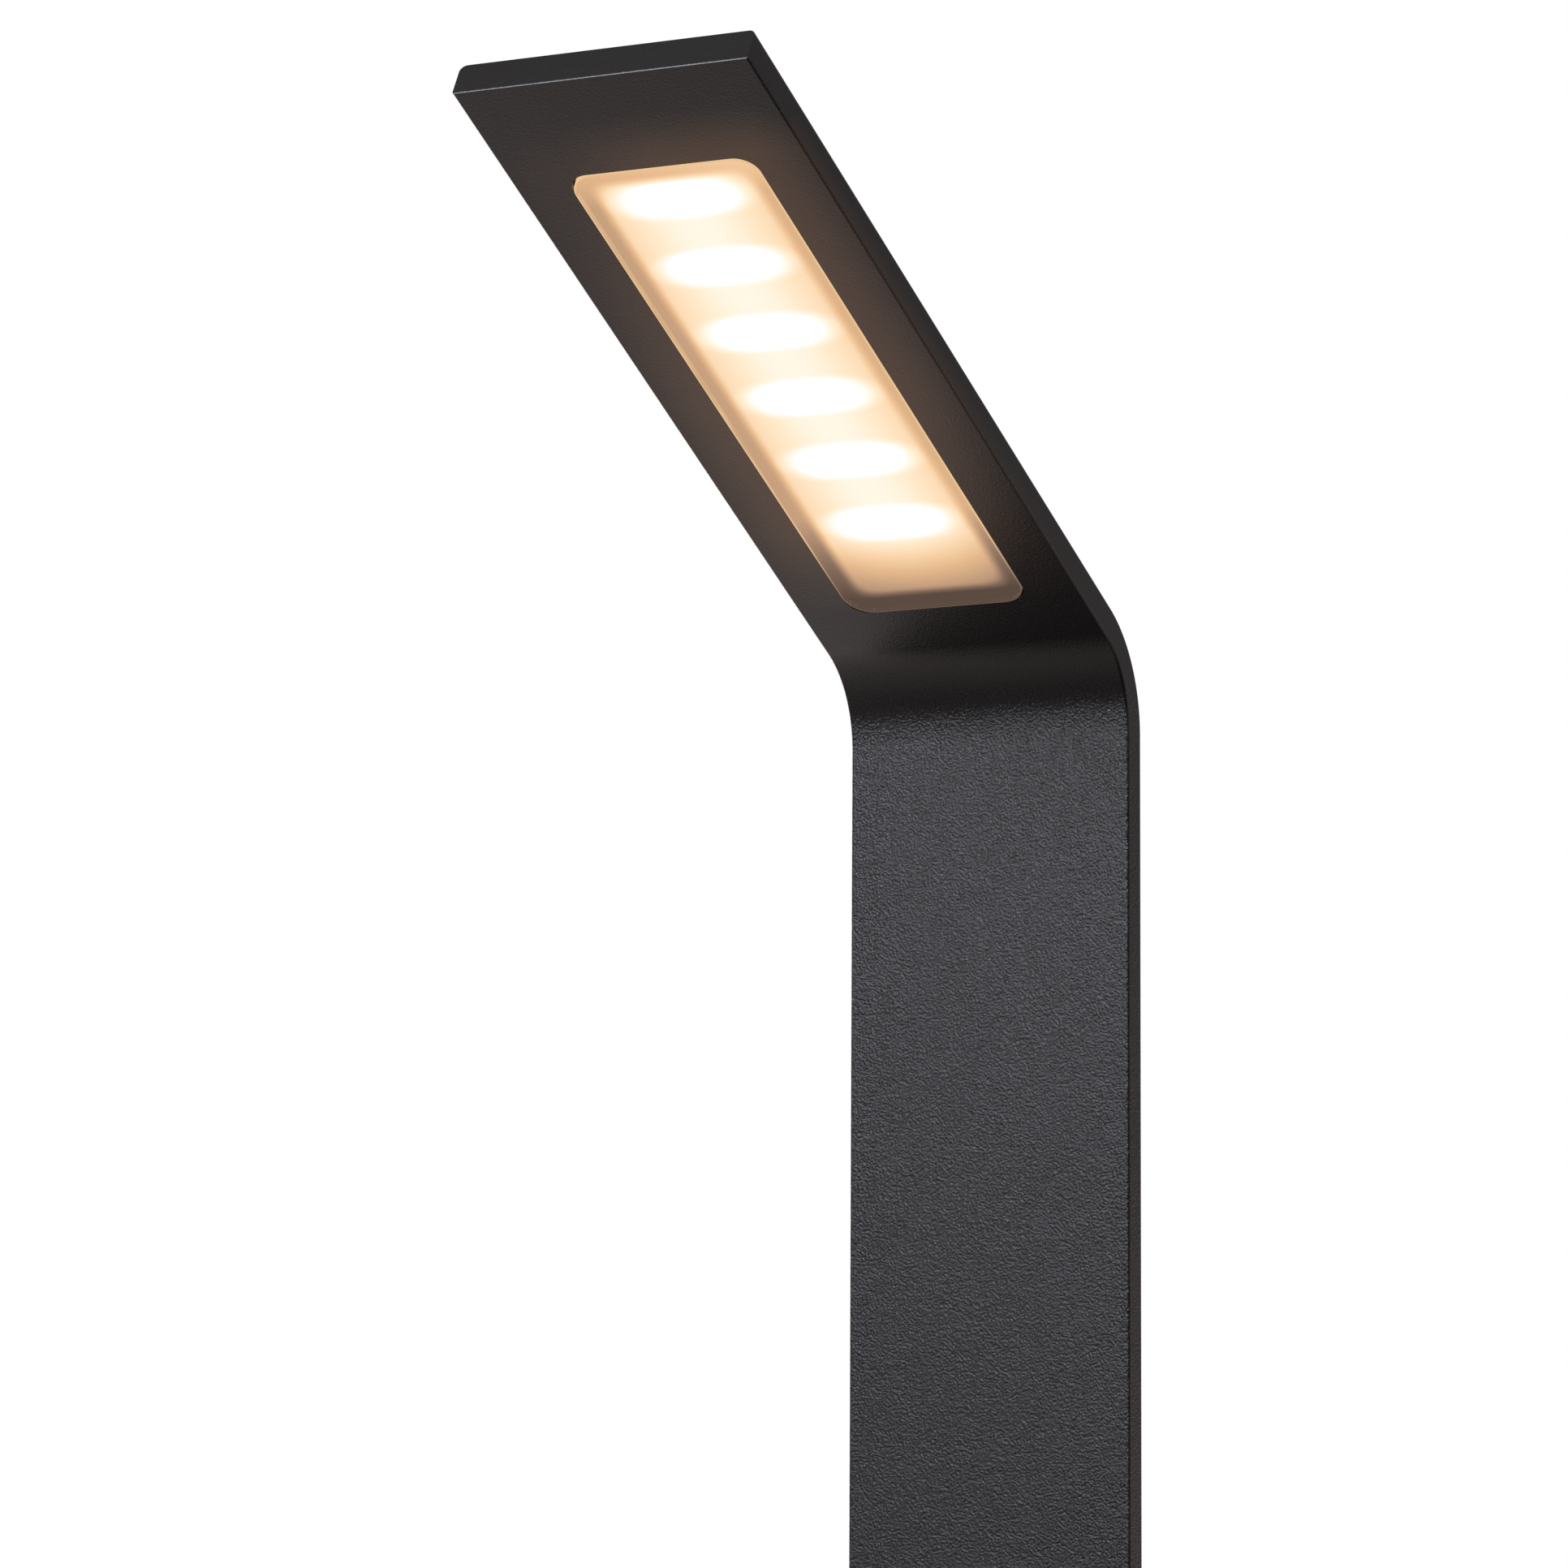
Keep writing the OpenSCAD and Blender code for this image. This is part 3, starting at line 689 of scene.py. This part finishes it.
@dataclass(frozen=True)
class SatinSkin(Finish):
    """The satin skin of the opal acrylic, which veils the lit inside a little."""

    colour: str = "#e9cfb4"
    cover: float = 0.05
    roughness: float = 0.4
    roughness_spread: float = 0.1
    texture: float = 0.4 * MM

    def inputs(self, tree: Tree, place: Socket) -> Inputs:
        """Builds the skin's satin texture."""
        satin = add_node(tree, "TexNoise", {"Vector": place, "Scale": 1 / self.texture})
        sheen = {"Value": satin, "To Min": self.roughness, "To Max": self.roughness + self.roughness_spread}
        return {
            "Base Color": linear(self.colour),
            "Roughness": add_node(tree, "MapRange", sheen),
            "IOR": ACRYLIC_IOR,
            "Alpha": self.cover,
        }


@dataclass(frozen=True)
class LitRim(Finish):
    """The narrow polished edge round the lens, where the light inside the acrylic comes out."""

    light: Light = Light()
    bright: str = "#eac391"
    dim: str = "#6a5a4c"
    bright_from: float = -60 * MM
    roughness: float = 0.4

    def inputs(self, tree: Tree, place: Socket) -> Inputs:
        """Builds the edge's light, dimmer towards the bend."""
        along = add_node(tree, "SeparateXYZ", {0: place}).outputs["Z"]
        reach = {"Value": along, "From Min": self.light.dark_end, "From Max": self.bright_from}
        grown = add_node(tree, "MapRange", reach, interpolation_type="SMOOTHSTEP")
        tone = {"Factor": grown, "A": linear(self.dim), "B": linear(self.bright)}
        return {
            "Base Color": linear(UNLIT_ACRYLIC),
            "Roughness": self.roughness,
            "Emission Color": add_node(tree, "Mix", tone, data_type="RGBA"),
            "Emission Strength": 1.0,
        }


@dataclass(frozen=True)
class Moulding(Finish):
    """Moulded plastic, rubber or lacquer: one colour with a faint mottle and a fine texture."""

    colour: str
    mottle: str
    roughness: float
    grain: float = 0.5 * MM
    relief: float = 0.01 * MM

    def inputs(self, tree: Tree, place: Socket) -> Inputs:
        """Builds the mottle and the texture."""
        grain = add_node(tree, "TexNoise", {"Vector": place, "Scale": 1 / self.grain})
        tone = {"Factor": grain, "A": linear(self.colour), "B": linear(self.mottle)}
        return {
            "Base Color": add_node(tree, "Mix", tone, data_type="RGBA"),
            "Roughness": self.roughness,
            "Normal": add_node(tree, "Bump", {"Height": grain, "Distance": self.relief}),
            "IOR": PLASTIC_IOR,
        }


@dataclass(frozen=True)
class BareMetal(Finish):
    """Plated, galvanised or turned metal, with patches as large as its spangle or its tool marks."""

    colour: str
    patch_colour: str
    patch: float
    roughness: float
    roughness_spread: float = 0.12

    def inputs(self, tree: Tree, place: Socket) -> Inputs:
        """Builds the patches."""
        spangle = add_node(tree, "TexVoronoi", {"Vector": place, "Scale": 1 / self.patch})
        shades = add_node(tree, "SeparateColor", {0: spangle.outputs["Color"]})
        tone = {"Factor": shades.outputs[0], "A": linear(self.colour), "B": linear(self.patch_colour)}
        sheen = {
            "Value": shades.outputs[1],
            "To Min": self.roughness,
            "To Max": self.roughness + self.roughness_spread,
        }
        return {
            "Base Color": add_node(tree, "Mix", tone, data_type="RGBA"),
            "Metallic": 1.0,
            "Roughness": add_node(tree, "MapRange", sheen),
        }


# ---------------------------------------------------------------- studio


@dataclass(frozen=True)
class Softbox:
    """One soft rectangular lamp that points at a target."""

    name: str
    place: tuple[float, float, float]
    target: tuple[float, float, float]
    size: Pair
    power: float
    colour: str = "#ffffff"

    def build(self) -> None:
        """Adds the lamp to the scene."""
        data = bpy.data.lights.new(self.name, "AREA")
        data.shape = "RECTANGLE"
        data.size, data.size_y = self.size
        data.energy = self.power
        data.color = linear(self.colour)[:3]
        lamp = bpy.data.objects.new(self.name, data)
        lamp.location = self.place
        lamp.rotation_euler = (Vector(self.target) - Vector(self.place)).to_track_quat("-Z", "Y").to_euler()
        lamp.visible_camera = False
        bpy.context.scene.collection.objects.link(lamp)


@dataclass
class Studio:
    """Camera, softboxes, white surround and pale floor."""

    eye: tuple[float, float, float] = (892.5 * MM, -1866.4 * MM, 31 * MM)
    turn: float = math.radians(27.28)
    pitch: float = math.radians(8.30)
    roll: float = math.radians(0.31)
    lens: float = 163.4
    sensor: float = 36
    clip: Pair = (0.05, 60)
    surround_colour: str = "#f6efee"
    surround: float = 0.24
    floor_side: float = 30
    floor_colour: str = "#9d9c9a"
    floor_glow_colour: str = "#efeeec"
    floor_glow: float = 0.64
    floor_roughness: float = 0.9
    echo_front: str = "#262524"
    echo_back: str = "#e0d3d0"
    echo_axis: tuple[float, float, float] = (-0.6, 1, 0)
    echo_from: float = -0.35
    echo_to: float = 0.25
    softboxes: tuple[Softbox, ...] = (
        Softbox("key softbox", (-0.24, -0.95, 0.75), (0, 0, 0.3), (0.64, 0.6), 13.0, "#f0f4ff"),
        Softbox("top softbox", (0.5, 0.3, 2.0), (0, -0.05, 0.3), (1.4, 1.4), 7),
        Softbox("back softbox", (-1.5, 2.1, 0.8), (0, 0, 0.3), (1.6, 1.3), 28),
    )

    def build(self) -> None:
        """Adds everything that isn't part of the object."""
        self._add_camera()
        for softbox in self.softboxes:
            softbox.build()
        self._add_surround()
        self._add_floor()
        bpy.context.scene.view_settings.view_transform = "Standard"

    def _add_camera(self) -> None:
        """Adds the camera, low in front of the post and looking up at the head's underside."""
        data = bpy.data.cameras.new("camera")
        data.sensor_width = self.sensor
        data.lens = self.lens
        data.clip_start, data.clip_end = self.clip
        camera = bpy.data.objects.new("camera", data)
        camera.matrix_world = (
            Matrix.Translation(self.eye)
            @ Matrix.Rotation(self.turn, 4, "Z")
            @ Matrix.Rotation(math.pi / 2 + self.pitch, 4, "X")
            @ Matrix.Rotation(self.roll, 4, "Z")
        )
        bpy.context.scene.collection.objects.link(camera)
        bpy.context.scene.camera = camera

    def _add_surround(self) -> None:
        """Adds a surround that shows plain white and lights the object more softly than that."""
        world = bpy.data.worlds.new("surround")
        tree = empty_tree(world)
        sight = add_node(tree, "LightPath").outputs["Is Camera Ray"]
        soft = {"Color": linear(self.surround_colour), "Strength": self.surround}
        light = add_node(tree, "Background", soft)
        white = add_node(tree, "Background", {"Color": linear("#ffffff")})
        mix = add_node(tree, "MixShader", {0: sight, 1: light, 2: white})
        add_node(tree, "OutputWorld", {"Surface": mix})
        bpy.context.scene.world = world

    def _add_floor(self) -> None:
        """Adds the floor. It shows pale, and what it throws up at the object is dim in front of the post."""
        side = self.floor_side
        shape = bmesh.new()
        shape.faces.new([shape.verts.new((x, y, 0)) for x, y in box(side, side)])
        floor = new_piece("floor", shape)
        material = bpy.data.materials.new("matt studio floor")
        tree = empty_tree(material)
        sight = add_node(tree, "LightPath").outputs["Is Camera Ray"]
        matt = {
            "Base Color": linear(self.floor_colour),
            "Roughness": self.floor_roughness,
            "Specular IOR Level": 0.0,
            "Emission Color": linear(self.floor_glow_colour),
            "Emission Strength": self.floor_glow,
        }
        shown = add_node(tree, "BsdfPrincipled", matt)
        spot = add_node(tree, "TexCoord").outputs["Object"]
        back = add_node(tree, "VectorMath", {0: spot, 1: self.echo_axis}, operation="DOT_PRODUCT")
        reach = {"Value": back, "From Min": self.echo_from, "From Max": self.echo_to}
        share = add_node(tree, "MapRange", reach)
        tone = {"Factor": share, "A": linear(self.echo_front), "B": linear(self.echo_back)}
        echo = add_node(tree, "Emission", {"Color": add_node(tree, "Mix", tone, data_type="RGBA")})
        mix = add_node(tree, "MixShader", {0: sight, 1: echo, 2: shown})
        add_node(tree, "OutputMaterial", {"Surface": mix})
        floor.data.materials.append(material)


# ---------------------------------------------------------------- sub-assemblies


@dataclass
class PostAndHead:
    """The bent hollow profile and the cap in the end of its head."""

    profile: Profile
    light: Light
    cap_flange: float = 1.5 * MM
    cap_chamfer: Pair = (0.4 * MM, 0.21 * MM)
    spigot: float = 12 * MM
    spigot_gap: float = 0.6 * MM
    groove: tuple[float, float, float] = (5 * MM, 8 * MM, 1.2 * MM)
    screw_hole: float = 2.2 * MM
    over: float = 1 * MM
    # The same coat in a touch darker colours: painted shade on the cap's end face.
    cap_coat: PowderCoat = PowderCoat(
        "black structured powder coat on the cap", "#0e0b0a", "#12100f", 0.28, relief=0.05 * MM
    )

    def build(self) -> None:
        """Builds and dresses both pieces."""
        body = self._body()
        window = self.light.place(self.profile)
        # The coat round the window has the lens's spill painted on it as a warm glow.
        coat = LitPowderCoat(
            "black structured powder coat", bend_z=self.profile.bend_z, window=window, light=self.light
        )
        set_up(body, coat, "powder_coated_aluminium", "post_profile")
        set_up(self._cap(), self.cap_coat, "powder_coated_aluminium", "head_end_cap")

    def _body(self) -> Piece:
        """Sweeps the profile, hollows it and opens its window and its screw holes."""
        p = self.profile
        end = p.head_length - self.cap_flange
        body = new_piece("bent_profile", p.sweep(p.outline, p.foot_z, end))
        side_width, side_x = p.side_chamber
        chambers = ((p.chamber, 0), (side_width, -side_x), (side_width, side_x))
        cutters = [self._window()]
        for i, (width, x) in enumerate(chambers):
            inner = p.sweep(box(width, p.chamber_height, x), p.foot_z - self.over, end + self.over)
            cutters.append(new_piece(f"chamber_{i}", inner))
        cutters.append(self._screw_holes())
        carve(body, cutters)
        shade(body)
        return body

    def _window(self) -> Piece:
        """Builds the cutter for the lens's window in the underside."""
        light, p = self.light, self.profile
        gap = 2 * light.window_gap
        outline = soft_box(light.width + gap, light.length + gap, light.window_corner, 2 * p.corner_steps)
        depths = (-self.over, p.wall + self.over)
        return new_piece("window", loft(flat_rings((outline, depth) for depth in depths)), light.place(p))

    def _screw_holes(self) -> Piece:
        """Builds the cutter for the holes of the screws through the back of the post."""
        shape = bmesh.new()
        hole = circle(self.screw_hole)
        back = self.profile.thickness / 2
        for x, z in PostScrews.places():
            at = Matrix.Translation((x, 0, z))
            rings = flat_rings((hole, y) for y in (back - self.profile.wall - self.over, back + self.over))
            loft([[at @ point for point in ring] for ring in rings], shape)
        return new_piece("screw_holes", shape)

    def _cap(self) -> Piece:
        """Builds the cap: a flange with a fine chamfer, and the grooved spigots behind it."""
        p = self.profile
        seat = p.head_length - self.cap_flange
        inset, drop = self.cap_chamfer
        face = soft_box(
            p.width - 2 * inset,
            p.thickness - 2 * inset,
            p.front_radius - inset,
            p.corner_steps,
            p.back_radius - inset,
        )
        layers = ((p.outline, seat), (p.outline, p.head_length - drop), (face, p.head_length))
        shape = loft(level_rings(layers))
        side_width, side_x = p.side_chamber
        groove_from, groove_to, depth = self.groove
        width, height = p.chamber - self.spigot_gap, p.chamber_height - self.spigot_gap
        steps = (
            (self.spigot, 0),
            (groove_to, 0),
            (groove_to, depth),
            (groove_from, depth),
            (groove_from, 0),
            (0, 0),
        )
        rings = level_rings((box(width - 2 * cut, height - 2 * cut), seat - back) for back, cut in steps)
        loft(rings, shape)
        for x in (-side_x, side_x):
            outline = box(side_width - self.spigot_gap, height, x)
            loft(level_rings((outline, seat - back) for back in (self.spigot, 0)), shape)
        cap = new_piece("end_cap", shape, p.head_place)
        shade(cap)
        return cap


@dataclass
class LensUnit:
    """The opal lens: a satin skin with a lit rim, and the lit core inside it."""

    profile: Profile
    light: Light
    rim: float = 0.35 * MM
    core_depth: float = 1.4 * MM
    core_thickness: float = 0.4 * MM
    core_gap: float = 0.05 * MM
    corner_steps: int = 12
    inner_wall: int = 3

    def build(self) -> None:
        """Builds and dresses the lens and its core."""
        place = self.light.place(self.profile)
        lit = LitCore("lit opal acrylic", self.light)
        set_up(self._skin(place), SatinSkin("satin opal acrylic"), "opal_acrylic", "lens")
        rim = self._rim(place)
        set_up(rim, LitRim("lit edge of opal acrylic", self.light), "opal_acrylic")
        rim.data.materials.append(lit.material())
        set_up(self._core(place), lit, "opal_acrylic")

    def _outline(self, inset: float) -> list[Point]:
        """Gives the lens's outline, drawn in by an inset."""
        light = self.light
        return soft_box(
            light.width - 2 * inset, light.length - 2 * inset, light.corner - inset, self.corner_steps
        )

    def _skin(self, place: Matrix) -> Piece:
        """Builds the lens's outer skin with the flange behind the metal."""
        light = self.light
        flange = soft_box(light.flange_width, light.flange_length, light.flange_corner, self.corner_steps)
        inner = self._outline(self.rim)
        layers = (
            (inner, -light.proud),
            (inner, light.flange_from),
            (flange, light.flange_from),
            (flange, light.flange_to),
        )
        skin = new_piece("opal_lens", loft(flat_rings(layers)), place)
        shade(skin)
        return skin

    def _rim(self, place: Matrix) -> Piece:
        """Builds the rim, a thin frame round the skin with its outer edge broken."""
        light = self.light
        outer, inner = self._outline(0), self._outline(self.rim)
        rings = flat_rings(
            (
                (inner, -light.proud),
                (outer, -light.proud / 2),
                (outer, light.flange_from),
                (inner, light.flange_from),
            )
        )
        shape = bmesh.new()
        loops = [[shape.verts.new(point) for point in ring] for ring in rings]
        for band, (low, high) in enumerate(zip(loops, loops[1:] + loops[:1])):
            for k, corner in enumerate(low):
                after = (k + 1) % len(low)
                face = shape.faces.new((corner, low[after], high[after], high[k]))
                face.material_index = int(band == self.inner_wall)
        rim = new_piece("lens_rim", shape, place)
        shade(rim)
        return rim

    def _core(self, place: Matrix) -> Piece:
        """Builds the lit core, a sheet a little way behind the skin."""
        outline = self._outline(self.rim + self.core_gap)
        depths = (self.core_depth, self.core_depth + self.core_thickness)
        return new_piece("lit_core", loft(flat_rings((outline, depth) for depth in depths)), place)


@dataclass(frozen=True)
class ButtonScrew:
    """A button-head screw with a hexagon socket. It points down, with its head on z = 0."""

    shank_radius: float
    head_radius: float
    head_height: float
    socket_flats: float
    length: float
    sides: int = 36
    dome_steps: int = 6
    rim_share: float = 0.3
    crown_share: float = 0.62
    socket_share: float = 0.6

    def add_to(self, shape: Shape, place: Matrix) -> None:
        """Adds the screw to a shape.

        Args:
            shape: The shape that gets the screw.
            place: Where the screw's own frame lies.
        """
        rim = self.head_height * self.rim_share
        rings = [(self.shank_radius, -self.length), (self.shank_radius, 0), (self.head_radius, 0)]
        for i in range(self.dome_steps + 1):
            turn = math.pi / 2 * i / self.dome_steps
            share = 1 - (1 - self.crown_share) * (1 - math.cos(turn))
            rings.append((self.head_radius * share, rim + (self.head_height - rim) * math.sin(turn)))
        layers = [([self._round(r, k) for k in range(self.sides)], z) for r, z in rings]
        socket = [self._socket(k) for k in range(self.sides)]
        floor = self.head_height * (1 - self.socket_share)
        layers += [(socket, self.head_height), (socket, floor)]
        loft([[place @ point for point in ring] for ring in level_rings(layers)], shape)

    def _round(self, radius: float, k: int) -> Point:
        """Gives point k of a circle."""
        turn = math.tau * k / self.sides
        return radius * math.cos(turn), radius * math.sin(turn)

    def _socket(self, k: int) -> Point:
        """Gives point k of the hexagon socket."""
        turn = math.tau * k / self.sides
        sixth = math.pi / 3
        return self._round(self.socket_flats / 2 / math.cos((turn + sixth / 2) % sixth - sixth / 2), k)


BLACK_STEEL = BareMetal("blackened stainless steel", "#1d1d1f", "#29292c", 0.7 * MM, 0.32)


@dataclass
class PostScrews:
    """The four screws through the back of the post into the fork in its root."""

    screw: ButtonScrew = ButtonScrew(2 * MM, 3.8 * MM, 2.2 * MM, 2.5 * MM, 8 * MM)

    @classmethod
    def places(cls) -> list[Point]:
        """Gives each screw's place across and its height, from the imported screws' box."""
        low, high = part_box("post_screws")
        radius = cls.screw.head_radius
        return [(x, z) for x in (low.x + radius, high.x - radius) for z in (low.z + radius, high.z - radius)]

    def build(self) -> None:
        """Builds and dresses the screws as one piece."""
        low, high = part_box("post_screws")
        seat = high.y - self.screw.head_height
        turn = Vector((0, 1, 0)).to_track_quat("Z", "X").to_matrix().to_4x4()
        shape = bmesh.new()
        for x, z in self.places():
            self.screw.add_to(shape, Matrix.Translation((x, seat, z)) @ turn)
        piece = new_piece("post_button_screws", shape)
        shade(piece)
        set_up(piece, BLACK_STEEL, "black_steel", "post_screws")


@dataclass
class Foot:
    """The cast foot on its gasket, and the two screws that hold it to the ground plate."""

    corner: float = 6 * MM
    corner_steps: int = 10
    wall: float = 3 * MM
    top: float = 5 * MM
    edge: float = 1.5 * MM
    edge_steps: int = 6
    side_screw_z: float = 18 * MM
    side_hole: float = 2.7 * MM
    slot_width: float = 57.6 * MM
    over: float = 1 * MM
    screw: ButtonScrew = ButtonScrew(2.5 * MM, 4.7 * MM, 2.7 * MM, 3 * MM, 11 * MM)

    def build(self, profile: Profile) -> None:
        """Builds and dresses the foot and its side screws.

        Args:
            profile: The post's profile, whose chambers open into the foot.
        """
        low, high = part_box("foot_housing")
        coat = PowderCoat("black structured powder coat on the casting")
        set_up(self._housing(low, high, profile), coat, "powder_coated_casting", "foot_housing")
        set_up(self._side_screws(high.x), BLACK_STEEL, "black_steel", "side_screws")

    def _housing(self, low: Vector, high: Vector, profile: Profile) -> Piece:
        """Builds the casting with a rounded upper edge, hollow from below."""
        width = high.x - low.x
        layers = [(soft_box(width, width, self.corner, self.corner_steps), low.z)]
        for i in range(self.edge_steps + 1):
            turn = math.pi / 2 * i / self.edge_steps
            inset = self.edge * (1 - math.cos(turn))
            outline = soft_box(width - 2 * inset, width - 2 * inset, self.corner - inset, self.corner_steps)
            layers.append((outline, high.z - self.edge * (1 - math.sin(turn))))
        housing = new_piece("cast_foot", loft(level_rings(layers)))
        inner = width - 2 * self.wall
        cavity = soft_box(inner, inner, self.corner - self.wall, self.corner_steps)
        slot = box(self.slot_width, profile.chamber_height)
        ceiling = high.z - self.top
        below, above = (low.z - self.over, ceiling), (ceiling - self.over, high.z + self.over)
        cutters = [
            new_piece("cavity", loft(level_rings((cavity, z) for z in below))),
            new_piece("slot", loft(level_rings((slot, z) for z in above))),
            new_piece("side_holes", self._side_holes(width / 2)),
        ]
        carve(housing, cutters)
        shade(housing)
        return housing

    def _side_holes(self, half: float) -> Shape:
        """Builds the cutter for the holes of the side screws."""
        shape = bmesh.new()
        hole = circle(self.side_hole)
        for side in (-1, 1):
            ends = (side * (half - self.wall - self.over), side * (half + self.over))
            loft([[Vector((x, y, self.side_screw_z + up)) for y, up in hole] for x in ends], shape)
        return shape

    def _side_screws(self, half: float) -> Piece:
        """Builds both side screws as one piece."""
        shape = bmesh.new()
        for side in (-1, 1):
            turn = Vector((side, 0, 0)).to_track_quat("Z", "Y").to_matrix().to_4x4()
            self.screw.add_to(shape, Matrix.Translation((side * half, 0, self.side_screw_z)) @ turn)
        piece = new_piece("side_button_screws", shape)
        shade(piece)
        return piece


class InnerFinish(Enum):
    """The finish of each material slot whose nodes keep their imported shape."""

    silicone_rubber = Moulding("silicone rubber", "#2c2c2d", "#343435", 0.6)
    epdm_rubber = Moulding("EPDM rubber", "#161617", "#1d1d1e", 0.75)
    white_polycarbonate = Moulding("white polycarbonate", "#efede8", "#f6f5f1", 0.45)
    led_phosphor = Moulding("phosphor in silicone", "#e6b93a", "#f0cd5f", 0.35, 0.2 * MM)
    white_led_board = Moulding("white solder mask", "#f1f1ee", "#e6e6e2", 0.4)
    thermal_pad = Moulding("grey thermal pad", "#8d9398", "#80868b", 0.8)
    red_wire = Moulding("red PVC", "#a6231d", "#b02a22", 0.4)
    black_wire = Moulding("black PVC", "#1b1b1d", "#222224", 0.4)
    brown_wire = Moulding("brown PVC", "#5b3318", "#653a1d", 0.4)
    blue_wire = Moulding("blue PVC", "#2450a0", "#2b5aad", 0.4)
    earth_wire = Moulding("green and yellow PVC", "#5d8a1e", "#d3c52b", 0.4, 3 * MM)
    driver_plastic = Moulding("black moulded case", "#1a1a1b", "#232324", 0.5)
    circuit_board = Moulding("green solder mask on glass fibre", "#1d5b35", "#246a3f", 0.35)
    ferrite = Moulding("sintered ferrite", "#2f2f32", "#3c3c40", 0.6)
    capacitor_can = Moulding("blue sleeve on a can", "#2450a1", "#2a5ab0", 0.3)
    zinc_plated_steel = BareMetal("zinc-plated steel", "#c9ccce", "#b4b9be", 1 * MM, 0.28)
    galvanised_steel = BareMetal("hot-dip galvanised steel", "#a9adb0", "#8e9498", 6 * MM, 0.42)
    brass = BareMetal("turned brass", "#d2ab5a", "#c39a49", 0.8 * MM, 0.25)


def dress_packed_nodes() -> None:
    """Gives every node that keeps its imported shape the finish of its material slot."""
    for part in frame["record"]["subparts"]:
        slot = part["material_slot"]
        if slot in InnerFinish.__members__:
            material = InnerFinish[slot].value.material()
            for holder in frame["nodes"][part["node"]].material_slots:
                holder.material = material
            LOG.info("%s: packed shape in %s", part["node"], material.name)


def main() -> None:
    """Builds the light in order."""
    logging.basicConfig(level=logging.INFO, format="%(name)s: %(message)s")
    profile, light = Profile.from_frame(), Light()
    Studio().build()
    PostAndHead(profile, light).build()
    LensUnit(profile, light).build()
    PostScrews().build()
    Foot().build(profile)
    dress_packed_nodes()


if __name__ == "__main__":
    main()
